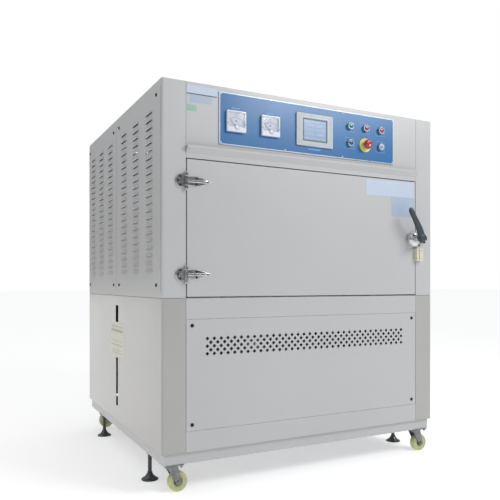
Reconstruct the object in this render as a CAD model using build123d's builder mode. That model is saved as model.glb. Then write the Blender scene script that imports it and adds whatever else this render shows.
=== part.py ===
from build123d import *
from math import cos, pi, radians, sin
import os

# Ultraviolet ageing chamber: a floor-standing cabinet with a hinged front door.
# Units are millimetres. X runs to the right, Y to the back and Z up. The floor is at
# Z = 0, and the origin is below the middle of the whole object's box.

# Cabinet
body_width = 1300.0
body_depth = 1215.0
lower_height = 568.0
upper_height = 800.0
sheet = 1.5
corner_radius = 7.0
post_width = 93.0
flange = 18.0
seam_gap = 1.0
deck_thickness = 2.0
deck_recess = 3.0

# Plinth, castors and levelling feet
caster_height = 110.0
plinth_height = 45.0
plinth_inset = 12.0
rail_width = 40.0
rail_wall = 3.0
gusset = 112.0
caster_inset = 54.0
caster_plate_width = 74.0
caster_plate_length = 92.0
caster_plate_thickness = 3.5
caster_plate_radius = 5.0
caster_bolt_inset = 9.0
caster_slot_length = 14.0
caster_slot_width = 8.5
caster_trail = 25.0
raceway_radius = 26.0
raceway_height = 8.0
raceway_taper = 8.0
kingpin_radius = 5.0
kingpin_head_radius = 10.0
kingpin_head_height = 3.0
crown_thickness = 4.0
crown_length = 42.0
wheel_radius = 37.5
wheel_width = 30.0
wheel_hub_radius = 12.0
tread_radius = 6.0
fork_sheet = 3.0
fork_gap = 0.5
axle_radius = 4.0
axle_head_radius = 7.0
axle_head_height = 4.0
foot_inset_x = 28.0
foot_inset_y = 228.0
foot_rod_radius = 8.0
foot_pad_radius = 34.0
foot_pad_height = 26.0
foot_pad_rim = 3.0
foot_neck_radius = 10.0
foot_chamfer = 1.5
foot_rod_above = 20.0
foot_boss_radius = 14.0
foot_boss_drop = 8.0

# Fits between pieces that turn or slide on each other
running_clearance = 0.05
free_clearance = 0.3

# Header, drip hood and control panel
door_opening_height = 518.0
header_height = 18.0
hood_reach = 20.0
hood_lip = 7.0
control_width = 848.0
control_height = 200.0
control_thickness = 3.0
control_margin = 26.0
control_radius = 3.0
meter_size = 80.0
meter_depth = 12.0
meter_body_radius = 30.0
meter_body_depth = 40.0
meter_rim = 4.0
meter_recess = 9.0
meter_radius = 3.0
meter_dial_radius = 2.0
meter_cover_height = 16.0
meter_cover_depth = 3.0
meter_first_x = -355.0
meter_pitch = 150.5
meter_drop = 8.5
needle_length = 34.0
needle_width = 1.4
needle_thickness = 0.8
needle_hub_radius = 3.5
needle_pin_radius = 1.0
needle_pin_depth = 2.5
needle_hub_depth = 2.0
needle_standoff = 3.0
needle_pivot_drop = 20.0
needle_rest_angle = 45.0
hmi_width = 178.0
hmi_height = 134.0
hmi_depth = 7.0
hmi_x = 5.5
hmi_screen_width = 120.0
hmi_screen_height = 93.0
hmi_recess = 2.0
hmi_body_depth = 42.0
hmi_body_margin = 13.0
hmi_radius = 4.0
hmi_edge = 2.0
switch_first_x = 184.5
switch_pitch_x = 82.5
switch_pitch_z = 71.5
switch_lift = 4.75
bezel_radius = 14.75
bezel_depth = 12.0
bezel_chamfer = 1.5
switch_barrel_radius = 11.0
switch_barrel_depth = 40.0
cap_radius = 11.4
cap_depth = 8.0
cap_proud = 2.0
cap_chamfer = 0.8
stem_radius = 7.0
stem_length = 24.0
switch_travel = 4.0
mushroom_radius = 20.0
mushroom_depth = 16.0
mushroom_gap = 5.0
key_radius = 8.5
key_proud = 2.5
key_slot_width = 2.2
key_slot_height = 11.0
key_slot_depth = 4.0

# Door
door_gap = 4.0
door_proud = 1.0
door_depth = 44.0
door_bend = 2.5
frame_setback = 60.0
plug_depth = 24.0
plug_clearance = 10.0
plug_radius = 4.0
gasket_width = 24.0
gasket_clearance = 0.3
gasket_corner = 12.0
gasket_edge = 4.0
hinge_spacing = 345.0
barrel_radius = 7.0
barrel_length = 70.0
barrel_standoff = 8.0
barrel_offset = 1.0
barrel_clearance = 0.8
hinge_pin_radius = 4.0
leaf_width = 41.0
leaf_height = 49.0
leaf_thickness = 5.0
leaf_chamfer = 13.0
strap_length = 99.0
strap_root = 31.0
strap_bulge = 37.0
strap_tip = 13.0
strap_thickness = 6.0
strap_overlap = 3.0
strap_bulge_reach = 35.0
latch_inset = 16.0
latch_drop = 3.0
latch_offset = 4.5
latch_width = 65.0
latch_height = 77.0
latch_corner = 29.0
latch_taper = 8.0
latch_edge = 8.0
latch_body_depth = 32.0
latch_boss_radius = 19.0
latch_boss_depth = 38.0
spindle_radius = 6.0
spindle_length = 30.0
lever_length = 146.0
lever_tilt = 28.0
lever_hub_radius = 19.0
lever_tip_radius = 12.0
lever_thickness = 26.0
lever_front_edge = 6.0
lever_back_edge = 4.0
cam_thickness = 9.0
cam_reach = 36.0
cam_width = 18.0
cam_hub_radius = 18.0
latch_gap = 0.5
keeper_setback = 21.0
keeper_width = 36.0
keeper_height = 40.0
keeper_block = 22.0
keeper_reach = 30.0
keeper_plate = 4.0
keeper_margin = 2.0
block_edge = 2.0
switch_height = 56.0
switch_depth = 20.0
switch_width = 21.0
switch_gap = 4.0
switch_drop = 75.0
magnet_width = 12.0
magnet_overhang = 6.0

# Side vents and water-level slots
vent_height = 742.0
vent_front = 12.0
vent_split = 632.0
vent_rear = 10.0
vent_gap = 2.0
vent_foot = 28.0
vent_sheet = 1.5
vent_margin = 40.0
louvre_width = 78.0
louvre_radius = 9.0
louvre_pitch = 28.5
louvre_rows = 22
louvre_columns = 3
louvre_column_pitch = 179.5
screw_radius = 7.0
screw_height = 3.5
screw_inset_y = 46.0
screw_inset_z = 19.0
slot_depth = 629.0
upper_slot_width = 46.0
upper_slot_height = 76.0
upper_slot_foot = 448.0
lower_slot_width = 32.0
lower_slot_height = 218.0
lower_slot_foot = 68.0

# Lower front
lower_rail_height = 75.0
upper_rail_height = 77.0
grille_lip = 30.0
diamond_side = 11.0
diamond_pitch = 28.54
diamond_row_pitch = 28.5
diamond_margin = 70.0
diamond_rows = 3
diamond_drop = 103.0
grille_screw_inset = 24.0

# Test chamber and its equipment
chamber_height = 430.0
chamber_depth = 600.0
insulation_floor = 44.0
insulation_height = 516.0
insulation_side = 45.0
insulation_side_gap = 95.0
insulation_rear = 42.0
lamp_radius = 19.0
lamp_wall = 1.0
lamp_end_gap = 50.0
lamp_count = 8
lamp_pitch = 70.0
lamp_drop = 42.0
lamp_hole_clearance = 3.0
holder_size = 46.0
holder_end = 10.0
holder_radius = 5.0
rack_lift = 190.0
rack_side_gap = 10.0
rack_length = 400.0
rack_thickness = 12.0
rack_seat = 4.0
rail_ledge = 20.0
rail_leg = 15.0
specimen_width = 75.0
specimen_length = 150.0
specimen_thickness = 3.0
specimen_gap = 20.0
specimen_rows = 2
tray_side_gap = 60.0
tray_length = 420.0
tray_height = 50.0
heater_radius = 5.0
heater_end_gap = 100.0
heater_length = 240.0
heater_bend = 80.0
fan_port_radius = 60.0
fan_housing_radius = 130.0
fan_housing_depth = 115.0
fan_flange = 18.0
fan_flange_thickness = 3.0
fan_sheet = 2.0
fan_inlet = 120.0
fan_motor_radius = 55.0
fan_motor_depth = 110.0
fan_motor_edge = 12.0
impeller_radius = 105.0
impeller_depth = 70.0
impeller_blades = 12
impeller_disc = 3.0
impeller_hub_radius = 14.0
impeller_hub_recess = 10.0
blade_pitch_radius = 79.0
blade_length = 47.0
blade_thickness = 2.0
blade_angle = 35.0
shaft_radius = 7.0
shaft_gap = 2.0
tank_gap = 48.0
tank_width = 270.0
tank_length = 300.0
tank_height = 520.0
sight_radius = 8.0
sight_bore = 6.0
sight_foot = 60.0
sight_height = 480.0
sight_arm_radius = 5.0
sight_arm_foot = 16.0
sight_arm_head = 32.0
sight_floor = 3.0
sight_wall_gap = 10.0
plate_front = 130.0
electrical_side_gap = 200.0
ballast_pitch = 220.0
electrical_length = 420.0
electrical_sheet = 2.0
rear_reach = 30.0
rear_panel_margin = 10.0
rear_panel_gap = 4.0
rear_louvre_rows = 8
nipple_radius = 10.0
nipple_bore = 7.0
gland_radius = 16.0
fitting_flange = 8.0
fitting_flange_thickness = 5.0
fitting_depth = 20.0
gland_length = 20.0
inlet_height = 380.0
drain_height = 60.0
fitting_x = 420.0

# Places worked out from the sizes above
half_width = body_width / 2
post_edge = half_width - post_width
base_z = caster_height + plinth_height
split_z = base_z + lower_height
deck_top = split_z + deck_thickness
shell_top = deck_top + upper_height - sheet
body_top = deck_top + upper_height
header_z = deck_top + door_opening_height
hood_foot_z = header_z + header_height
hood_top_z = hood_foot_z + hood_reach + hood_lip
control_z = (hood_top_z + body_top) / 2
front_reach = door_proud + latch_boss_depth + latch_gap + cam_thickness + lever_thickness
front_y = -(front_reach + body_depth + rear_reach) / 2 + front_reach
rear_y = front_y + body_depth
middle_y = (front_y + rear_y) / 2
door_half = post_edge - door_gap
door_foot = deck_top + door_gap
door_head = header_z - door_gap
door_z = (door_foot + door_head) / 2
door_y = front_y - door_proud
door_back = front_y + door_depth
frame_y = front_y + frame_setback
insulation_half = half_width - insulation_side_gap
chamber_half = insulation_half - insulation_side
lamp_half = half_width - lamp_end_gap
rack_half = chamber_half - rack_side_gap
tray_half = chamber_half - tray_side_gap
electrical_half = half_width - electrical_side_gap
chamber_foot = deck_top + insulation_floor
chamber_head = chamber_foot + chamber_height
chamber_front = frame_y + sheet
chamber_back = chamber_front + chamber_depth
insulation_back = chamber_back + sheet + insulation_rear
insulation_top = deck_top + insulation_height
lamp_z = chamber_head - lamp_drop
lamp_middle_y = (chamber_front + chamber_back) / 2
lamp_spots = [lamp_middle_y + (i - (lamp_count - 1) / 2) * lamp_pitch for i in range(lamp_count)]
hinge_axis_x = -post_edge - barrel_offset
hinge_axis_y = front_y - barrel_standoff
latch_x = door_half - latch_inset
keeper_x = post_edge + keeper_setback
latch_z = door_z - latch_drop
latch_y = door_y - latch_boss_depth
control_y = front_y - control_thickness
meter_spots = [(meter_first_x + i * meter_pitch, control_z - meter_drop) for i in range(2)]
switch_rows = [control_z + switch_lift + side * switch_pitch_z / 2 for side in (1, -1)]
switch_columns = [switch_first_x + i * switch_pitch_x for i in range(3)]
caster_x = half_width - caster_inset
caster_y = body_depth / 2 - caster_inset
foot_x = half_width - foot_inset_x
foot_y = body_depth / 2 - foot_inset_y
corner_signs = {"front_left": (-1, -1), "front_right": (1, -1), "rear_left": (-1, 1), "rear_right": (1, 1)}
caster_spots = {name: (sx * caster_x, middle_y + sy * caster_y) for name, (sx, sy) in corner_signs.items()}
foot_spots = {name: (sx * foot_x, middle_y + sy * foot_y) for name, (sx, sy) in corner_signs.items()}
plate_bottom = caster_height - caster_plate_thickness
raceway_bottom = plate_bottom - raceway_height
crown_top = raceway_bottom - free_clearance
crown_bottom = crown_top - crown_thickness
fork_inner = wheel_width / 2 + 1.5
grille_foot = base_z + lower_rail_height
grille_head = split_z - upper_rail_height
vent_foot_z = deck_top + vent_foot
vent_z = vent_foot_z + vent_height / 2
tank_x = -half_width + tank_gap
sight_x = tank_x - sight_radius - sight_wall_gap
slot_y = front_y + slot_depth
fan_z = (chamber_foot + chamber_head) / 2
rack_z = chamber_foot + rack_lift
rack_y = (chamber_front + chamber_back) / 2


def facing_front(y):
    """Vertical plane at y that faces the front: its own x and y are X and Z."""
    return Plane.XZ.offset(-y)


def block(low, high, mode=Mode.ADD):
    """Box between two corners, in the builder that is open."""
    size = [b - a for a, b in zip(low, high)]
    with Locations(tuple((a + b) / 2 for a, b in zip(low, high))):
        Box(*size, mode=mode)


def rod(centre, radius, y_front, y_back, mode=Mode.ADD):
    """Round bar along Y, centred on (x, z), in the builder that is open."""
    with BuildSketch(facing_front(y_back)) as disc:
        with Locations(centre):
            Circle(radius)
    extrude(disc.sketch, amount=y_back - y_front, mode=mode)


def save(part, name):
    part.label = name
    export_step(part, f"parts/{name}.step")


def save_group(builders, name):
    """Separate solids that touch face to face, written as one part."""
    save(Compound(children=[solid for builder in builders for solid in builder.solids()]), name)


os.makedirs("parts", exist_ok=True)


# Plinth: four rails of angle section under a floor sheet, with gussets for the castors
# and welded nuts for the feet
frame_x = half_width - plinth_inset
frame_front = front_y + plinth_inset
frame_rear = rear_y - plinth_inset
rail_top = base_z - rail_wall
lip_top = caster_height + rail_wall


def foot_holes(low, high):
    """Clearance holes for the threaded rods of all four feet, cut from the open part."""
    with BuildSketch(Plane.XY.offset(low)) as holes:
        with Locations(*foot_spots.values()):
            Circle(foot_rod_radius + running_clearance)
    extrude(holes.sketch, amount=high - low, mode=Mode.SUBTRACT)


with BuildPart() as floor_sheet:
    block((-frame_x, frame_front, rail_top), (frame_x, frame_rear, base_z))
    foot_holes(rail_top, base_z)
with BuildPart() as cross_rails:
    for outer_y, sign in ((frame_front, 1), (frame_rear, -1)):
        wall_y = outer_y + sign * rail_wall
        lip_y = outer_y + sign * rail_width
        block((-frame_x, min(outer_y, wall_y), caster_height), (frame_x, max(outer_y, wall_y), rail_top))
        block((-frame_x, min(outer_y, lip_y), caster_height), (frame_x, max(outer_y, lip_y), lip_top))
        for side in (-1, 1):
            edge_x = side * frame_x
            inner_x = side * (frame_x - gusset)
            inner_y = outer_y + sign * gusset
            block(
                (min(edge_x, inner_x), min(outer_y, inner_y), caster_height),
                (max(edge_x, inner_x), max(outer_y, inner_y), lip_top),
            )
with BuildPart() as side_rails:
    for side in (-1, 1):
        edge_x = side * frame_x
        wall_x = side * (frame_x - rail_wall)
        lip_x = side * (frame_x - rail_width)
        block(
            (min(edge_x, wall_x), frame_front + rail_wall, lip_top),
            (max(edge_x, wall_x), frame_rear - rail_wall, rail_top),
        )
        block(
            (min(edge_x, lip_x), frame_front + gusset, caster_height),
            (max(edge_x, lip_x), frame_rear - gusset, lip_top),
        )
    with BuildSketch(Plane.XY.offset(caster_height - foot_boss_drop)):
        with Locations(*foot_spots.values()):
            RegularPolygon(foot_boss_radius, 6)
    extrude(amount=rail_top - caster_height + foot_boss_drop)
    foot_holes(caster_height - foot_boss_drop, rail_top)
save_group((floor_sheet, cross_rails, side_rails), "base_frame")


# Castor top plates, each with its raceway and the kingpin that the fork hangs on
bolt_pitches = (caster_plate_width - 2 * caster_bolt_inset, caster_plate_length - 2 * caster_bolt_inset)
pin_foot = crown_bottom - free_clearance
with BuildPart() as caster_plates:
    for spot in caster_spots.values():
        with BuildSketch(Plane.XY.offset(plate_bottom)):
            with Locations(spot):
                RectangleRounded(caster_plate_width, caster_plate_length, caster_plate_radius)
                with GridLocations(*bolt_pitches, 2, 2):
                    SlotOverall(caster_slot_length, caster_slot_width, rotation=90, mode=Mode.SUBTRACT)
        extrude(amount=caster_plate_thickness)
        with BuildSketch(Plane.XY.offset(raceway_bottom)):
            with Locations(spot):
                Circle(raceway_radius)
        extrude(amount=raceway_height, taper=-raceway_taper)
        with BuildSketch(Plane.XY.offset(pin_foot)):
            with Locations(spot):
                Circle(kingpin_radius)
        extrude(amount=raceway_bottom - pin_foot)
        with BuildSketch(Plane.XY.offset(pin_foot)):
            with Locations(spot):
                Circle(kingpin_head_radius)
        extrude(amount=-kingpin_head_height)
save(caster_plates.part, "caster_plates")


def caster_fork(spot):
    """Swivel fork with its axle: the wheel trails to the right of the kingpin."""
    x, y = spot
    axle_x = x + caster_trail
    outer = fork_inner + fork_sheet
    with BuildPart() as fork:
        with BuildSketch(Plane.XY.offset(crown_bottom)):
            with Locations(spot):
                Circle(raceway_radius)
                Rectangle(crown_length, 2 * outer)
        extrude(amount=crown_thickness)
        with BuildSketch(facing_front(y + outer)):
            with BuildLine():
                Polyline(
                    (x - crown_length / 2, crown_top),
                    (x + crown_length / 2, crown_top),
                    (axle_x + wheel_hub_radius, wheel_radius),
                    (axle_x - wheel_hub_radius, wheel_radius),
                    close=True,
                )
            make_face()
            with Locations((axle_x, wheel_radius)):
                Circle(wheel_hub_radius)
        extrude(amount=2 * outer)
        block(
            (x - 2 * raceway_radius, y - fork_inner, 0),
            (axle_x + 2 * raceway_radius, y + fork_inner, crown_bottom),
            mode=Mode.SUBTRACT,
        )
        with Locations((x, y, crown_bottom + crown_thickness / 2)):
            Hole(kingpin_radius + running_clearance, crown_thickness)
        rod((axle_x, wheel_radius), axle_radius, y - outer, y + outer)
        for face_y in (y - outer - axle_head_height, y + outer):
            with BuildSketch(facing_front(face_y + axle_head_height)):
                with Locations((axle_x, wheel_radius)):
                    RegularPolygon(axle_head_radius, 6)
            extrude(amount=axle_head_height)
    return fork.part


def caster_wheel(spot):
    """Wheel with a crowned tread and a hub that runs on the axle."""
    x, y = spot
    hub_half = fork_inner - fork_gap
    with BuildPart() as wheel:
        with BuildSketch(Plane.XY.offset(wheel_radius)) as section:
            with Locations((x + caster_trail, y)):
                Rectangle(wheel_radius, wheel_width, align=(Align.MIN, Align.CENTER))
            fillet(section.vertices().group_by(Axis.X)[-1], tread_radius)
        revolve(axis=Axis((x + caster_trail, y, wheel_radius), (0, 1, 0)))
        rod((x + caster_trail, wheel_radius), wheel_hub_radius, y - hub_half, y + hub_half)
        rod(
            (x + caster_trail, wheel_radius),
            axle_radius + running_clearance,
            y - hub_half,
            y + hub_half,
            mode=Mode.SUBTRACT,
        )
    return wheel.part


def levelling_foot(spot):
    """Threaded rod on a bell-shaped pad."""
    x, y = spot
    top = base_z + foot_rod_above
    with BuildPart() as foot:
        with BuildSketch(Plane.XZ.offset(-y)):
            with BuildLine():
                rim = Line((x + foot_pad_radius, 0), (x + foot_pad_radius, foot_pad_rim))
                neck = (x + foot_neck_radius, foot_pad_height)
                bell = TangentArc(rim @ 1, neck, tangent=(-1, 0.35))
                Polyline(bell @ 1, (x + foot_rod_radius, foot_pad_height), (x + foot_rod_radius, top))
                Polyline((x + foot_rod_radius, top), (x, top), (x, 0), rim @ 0)
            make_face()
        revolve(axis=Axis((x, y, 0), (0, 0, 1)))
        chamfer(foot.edges().group_by(Axis.Z)[-1], foot_chamfer)
    return foot.part


for corner, spot in caster_spots.items():
    save(caster_fork(spot), f"caster_fork_{corner}")
    save(caster_wheel(spot), f"caster_wheel_{corner}")
for corner, spot in foot_spots.items():
    save(levelling_foot(spot), f"levelling_foot_{corner}")


def side_shell(bottom, top, return_depth, windows):
    """Left side panel, folded round both corners, with flanges top and bottom.

    windows holds (y, z, width, height) of each opening in the side.
    """
    left = -half_width
    height = top - bottom
    with BuildPart() as shell:
        for inset, mode in ((0, Mode.ADD), (sheet, Mode.SUBTRACT)):
            with BuildSketch(Plane.XY.offset(bottom + inset)) as plan:
                with Locations((left + post_width / 2, middle_y)):
                    Rectangle(post_width - 2 * inset, body_depth - 2 * inset)
                fillet(plan.vertices().group_by(Axis.X)[0], corner_radius - inset)
            extrude(amount=height - 2 * inset, mode=mode)
        block(
            (left + flange, front_y + return_depth, bottom),
            (left + post_width, rear_y, top),
            mode=Mode.SUBTRACT,
        )
        for y, z, width, tall in windows:
            block(
                (left, y - width / 2, z - tall / 2),
                (left + sheet, y + width / 2, z + tall / 2),
                mode=Mode.SUBTRACT,
            )
    return shell.part


def mirrored(part):
    """The same piece on the right-hand side."""
    with BuildPart() as other:
        add(part)
        mirror(about=Plane.YZ, mode=Mode.REPLACE)
    return other.part


vent_spans = (
    (front_y + vent_front, front_y + vent_split - vent_gap),
    (front_y + vent_split + vent_gap, rear_y - vent_rear),
)
vent_windows = [
    ((low + high) / 2, vent_z, high - low - 2 * vent_margin, vent_height - 2 * vent_margin)
    for low, high in vent_spans
]
level_slots = [
    (slot_y, base_z + upper_slot_foot + upper_slot_height / 2, upper_slot_width, upper_slot_height),
    (slot_y, base_z + lower_slot_foot + lower_slot_height / 2, lower_slot_width, lower_slot_height),
]
upper_left = side_shell(deck_top, shell_top, frame_setback, vent_windows)
save(side_shell(base_z, split_z, flange, level_slots), "lower_side_left")
save(mirrored(side_shell(base_z, split_z, flange, [])), "lower_side_right")
save(upper_left, "upper_side_left")
save(mirrored(upper_left), "upper_side_right")


def louvre_hood(radius):
    """Quarter of a round-ended bar on the XY plane: open below, closed above."""
    with BuildPart() as hood:
        with BuildSketch(Plane.XY):
            SlotOverall(louvre_width - 2 * (louvre_radius - radius), 2 * radius)
            Rectangle(louvre_width, radius, align=(Align.CENTER, Align.MIN), mode=Mode.INTERSECT)
        revolve(axis=Axis.X, revolution_arc=90)
    return hood.part


outer_hood = louvre_hood(louvre_radius)
inner_hood = louvre_hood(louvre_radius - vent_sheet)


def louvred_panel(plane, width, height, rows, column_pitch):
    """Flat panel on a plane that faces outward, with pressed louvres in rows and columns."""
    with BuildPart(plane) as panel:
        Box(width, height, vent_sheet, align=(Align.CENTER, Align.CENTER, Align.MIN))
        with GridLocations(column_pitch, louvre_pitch, louvre_columns, rows):
            add(outer_hood)
        with GridLocations(column_pitch, louvre_pitch, louvre_columns, rows):
            add(inner_hood, mode=Mode.SUBTRACT)
    return panel.part


# Vent panels: two on each side of the upper cabinet
with BuildPart() as left_vents:
    for low, high in vent_spans:
        middle = (-half_width, (low + high) / 2, vent_z)
        side_plane = Plane(origin=middle, x_dir=(0, -1, 0), z_dir=(-1, 0, 0))
        add(louvred_panel(side_plane, high - low, vent_height, louvre_rows, louvre_column_pitch))
with BuildPart() as vent_panels:
    add(left_vents.part)
    mirror(about=Plane.YZ)
save(vent_panels.part, "vent_panels")


# Lower front frame: rails above and below the perforated panel, and the lip behind it
front_half = post_edge - seam_gap
with BuildPart() as lower_front_frame:
    block((-front_half, front_y + sheet, base_z), (front_half, front_y + 2 * sheet, split_z))
    block((-front_half, front_y, base_z), (front_half, front_y + sheet, grille_foot))
    block((-front_half, front_y, grille_head), (front_half, front_y + sheet, split_z))
    block(
        (-front_half + grille_lip, front_y, grille_foot + grille_lip),
        (front_half - grille_lip, front_y + 2 * sheet, grille_head - grille_lip),
        mode=Mode.SUBTRACT,
    )
    block((-front_half, front_y + sheet, split_z - sheet), (front_half, front_y + flange, split_z))
    block((-front_half, front_y + sheet, base_z), (front_half, front_y + flange, base_z + sheet))
save(lower_front_frame.part, "lower_front_frame")


# Perforated lower front panel
grille_z = (grille_foot + grille_head) / 2
diamond_z = grille_head - diamond_drop
diamond_columns = int(2 * (front_half - diamond_margin) / diamond_pitch)
with BuildPart() as grille_panel:
    with BuildSketch(facing_front(front_y + sheet)):
        with Locations((0, grille_z)):
            Rectangle(2 * (front_half - seam_gap), grille_head - grille_foot - 2 * seam_gap)
        with Locations((0, diamond_z)):
            with GridLocations(diamond_pitch, diamond_row_pitch, diamond_columns, diamond_rows):
                Rectangle(diamond_side, diamond_side, rotation=45, mode=Mode.SUBTRACT)
            with GridLocations(diamond_pitch, diamond_row_pitch, diamond_columns - 1, diamond_rows - 1):
                Rectangle(diamond_side, diamond_side, rotation=45, mode=Mode.SUBTRACT)
    extrude(amount=sheet)
save(grille_panel.part, "grille_panel")


# Deck between the lower and the upper cabinet
with BuildPart() as mid_deck:
    with BuildSketch(Plane.XY.offset(split_z)):
        with Locations((0, middle_y)):
            RectangleRounded(
                body_width - 2 * deck_recess, body_depth - 2 * deck_recess, corner_radius - deck_recess
            )
    extrude(amount=deck_thickness)
save(mid_deck.part, "mid_deck")


# Top cover
with BuildPart() as top_cover:
    with BuildSketch(Plane.XY.offset(shell_top)):
        with Locations((0, middle_y)):
            RectangleRounded(body_width, body_depth, corner_radius)
    extrude(amount=sheet)
save(top_cover.part, "top_cover")


def mitred(points, thickness):
    """The same bent line moved to its left by a thickness, with mitred corners."""
    moved = []
    for i, (x, z) in enumerate(points):
        before = points[max(i - 1, 0)]
        after = points[min(i + 1, len(points) - 1)]
        runs = [
            Vector(b[0] - a[0], b[1] - a[1]).normalized()
            for a, b in ((before, (x, z)), ((x, z), after))
            if a != b
        ]
        normals = [Vector(-run.Y, run.X) for run in runs]
        mean = (normals[0] + normals[-1]) * 0.5
        shift = mean * (thickness / mean.dot(mean))
        moved.append((x + shift.X, z + shift.Y))
    return moved


# Header panel, folded forward into the drip hood above the door
hood_line = [
    (front_y + flange, shell_top),
    (front_y, shell_top),
    (front_y, hood_top_z),
    (front_y - hood_reach, hood_top_z),
    (front_y - hood_reach, hood_top_z - hood_lip),
    (front_y, hood_foot_z),
    (front_y, header_z),
    (frame_y, header_z),
]
hood_section = [
    (front_y + sheet, hood_top_z),
    (front_y - hood_reach, hood_top_z),
    (front_y - hood_reach, hood_top_z - hood_lip),
    (front_y + sheet, hood_foot_z - sheet),
]
with BuildPart() as fascia:
    with BuildSketch(Plane.YZ.offset(-front_half)):
        with BuildLine():
            Polyline(*hood_line, *reversed(mitred(hood_line, sheet)), close=True)
        make_face()
    extrude(amount=2 * front_half)
    for end_x in (-front_half, front_half - sheet):
        with BuildSketch(Plane.YZ.offset(end_x)):
            with BuildLine():
                Polyline(*hood_section, close=True)
            make_face()
        extrude(amount=sheet)
    window_x = control_width / 2 - control_margin
    window_z = control_height / 2 - control_margin
    block(
        (-window_x, front_y, control_z - window_z),
        (window_x, front_y + sheet, control_z + window_z),
        mode=Mode.SUBTRACT,
    )
save(fascia.part, "fascia")


# Control panel plate with the holes for its instruments
with BuildPart() as control_panel:
    with BuildSketch(facing_front(front_y)):
        with Locations((0, control_z)):
            RectangleRounded(control_width, control_height, control_radius)
        with Locations(*meter_spots):
            Circle(meter_body_radius + free_clearance, mode=Mode.SUBTRACT)
        with Locations((hmi_x, control_z)):
            Rectangle(
                hmi_width - 2 * hmi_body_margin + free_clearance,
                hmi_height - 2 * hmi_body_margin + free_clearance,
                mode=Mode.SUBTRACT,
            )
        for column in switch_columns:
            for row in switch_rows:
                with Locations((column, row)):
                    Circle(switch_barrel_radius + free_clearance, mode=Mode.SUBTRACT)
    extrude(amount=control_thickness)
save(control_panel.part, "control_panel")


# Panel meters: a square case with a recessed dial, and a round body behind the panel
meter_front = control_y - meter_depth
dial_y = meter_front + meter_recess
dial_size = meter_size - 2 * meter_rim
needle_y = dial_y - needle_standoff
with BuildPart() as meter_cases:
    for spot in meter_spots:
        with BuildSketch(facing_front(control_y)):
            with Locations(spot):
                RectangleRounded(meter_size, meter_size, meter_radius)
        extrude(amount=meter_depth)
        rod(spot, meter_body_radius, control_y, control_y + meter_body_depth)
        with BuildSketch(facing_front(dial_y)):
            with Locations(spot):
                RectangleRounded(dial_size, dial_size, meter_dial_radius)
        extrude(amount=meter_recess, mode=Mode.SUBTRACT)
        with BuildSketch(facing_front(meter_front + meter_cover_depth)):
            with Locations((spot[0], spot[1] - (dial_size - meter_cover_height) / 2)):
                Rectangle(dial_size, meter_cover_height)
        extrude(amount=meter_cover_depth)
        pivot = (spot[0], spot[1] - needle_pivot_drop)
        pin_end = dial_y + needle_pin_depth + free_clearance
        rod(pivot, needle_pin_radius + running_clearance, needle_y, pin_end, mode=Mode.SUBTRACT)
save(meter_cases.part, "meter_cases")


def meter_needle(spot):
    """Needle with its hub and pivot pin, at the zero end of the scale."""
    x, z = spot[0], spot[1] - needle_pivot_drop
    lean = radians(needle_rest_angle)
    middle = ((x - sin(lean) * needle_length / 2), (z + cos(lean) * needle_length / 2))
    with BuildPart() as needle:
        rod((x, z), needle_hub_radius, needle_y - needle_hub_depth / 2, needle_y + needle_hub_depth / 2)
        rod((x, z), needle_pin_radius, needle_y, dial_y + needle_pin_depth)
        with BuildSketch(facing_front(needle_y + needle_thickness / 2)):
            with Locations(middle):
                Rectangle(needle_width, needle_length, rotation=needle_rest_angle)
        extrude(amount=needle_thickness)
    return needle.part


for side, spot in zip(("left", "right"), meter_spots):
    save(meter_needle(spot), f"meter_needle_{side}")


# Touch-screen unit: bezel with a recessed screen, and a body behind the panel
with BuildPart() as hmi_unit:
    with BuildSketch(facing_front(control_y)):
        with Locations((hmi_x, control_z)):
            RectangleRounded(hmi_width, hmi_height, hmi_radius)
    extrude(amount=hmi_depth)
    fillet(hmi_unit.faces().sort_by(Axis.Y)[0].edges(), hmi_edge)
    with BuildSketch(facing_front(control_y - hmi_depth + hmi_recess)):
        with Locations((hmi_x, control_z)):
            Rectangle(hmi_screen_width, hmi_screen_height)
    extrude(amount=hmi_recess, mode=Mode.SUBTRACT)
    with BuildSketch(facing_front(control_y + hmi_body_depth)):
        with Locations((hmi_x, control_z)):
            Rectangle(hmi_width - 2 * hmi_body_margin, hmi_height - 2 * hmi_body_margin)
    extrude(amount=hmi_body_depth)
save(hmi_unit.part, "hmi_unit")


# Bezels of the six controls: four push buttons, the emergency stop and the key switch
bezel_front = control_y - bezel_depth
button_spots = {
    "start_button": (switch_columns[0], switch_rows[0]),
    "stop_button": (switch_columns[1], switch_rows[0]),
    "reset_button": (switch_columns[2], switch_rows[0]),
    "lamp_button": (switch_columns[0], switch_rows[1]),
}
stop_spot = (switch_columns[1], switch_rows[1])
key_spot = (switch_columns[2], switch_rows[1])
stem_back = bezel_front - cap_proud + cap_depth + stem_length
with BuildPart() as switch_bezels:
    for spot in (*button_spots.values(), stop_spot, key_spot):
        rod(spot, bezel_radius, bezel_front, control_y)
        rod(spot, switch_barrel_radius, control_y, control_y + switch_barrel_depth)
    chamfer(switch_bezels.faces().group_by(Axis.Y)[0].edges(), bezel_chamfer)
    for spot in button_spots.values():
        rod(
            spot,
            cap_radius + free_clearance,
            bezel_front,
            bezel_front - cap_proud + cap_depth + switch_travel + free_clearance,
            mode=Mode.SUBTRACT,
        )
    for spot in (*button_spots.values(), stop_spot):
        rod(
            spot,
            stem_radius + running_clearance,
            bezel_front,
            stem_back + switch_travel + free_clearance,
            mode=Mode.SUBTRACT,
        )
    rod(key_spot, key_radius + running_clearance, bezel_front, stem_back + free_clearance, mode=Mode.SUBTRACT)
save(switch_bezels.part, "switch_bezels")

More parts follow.
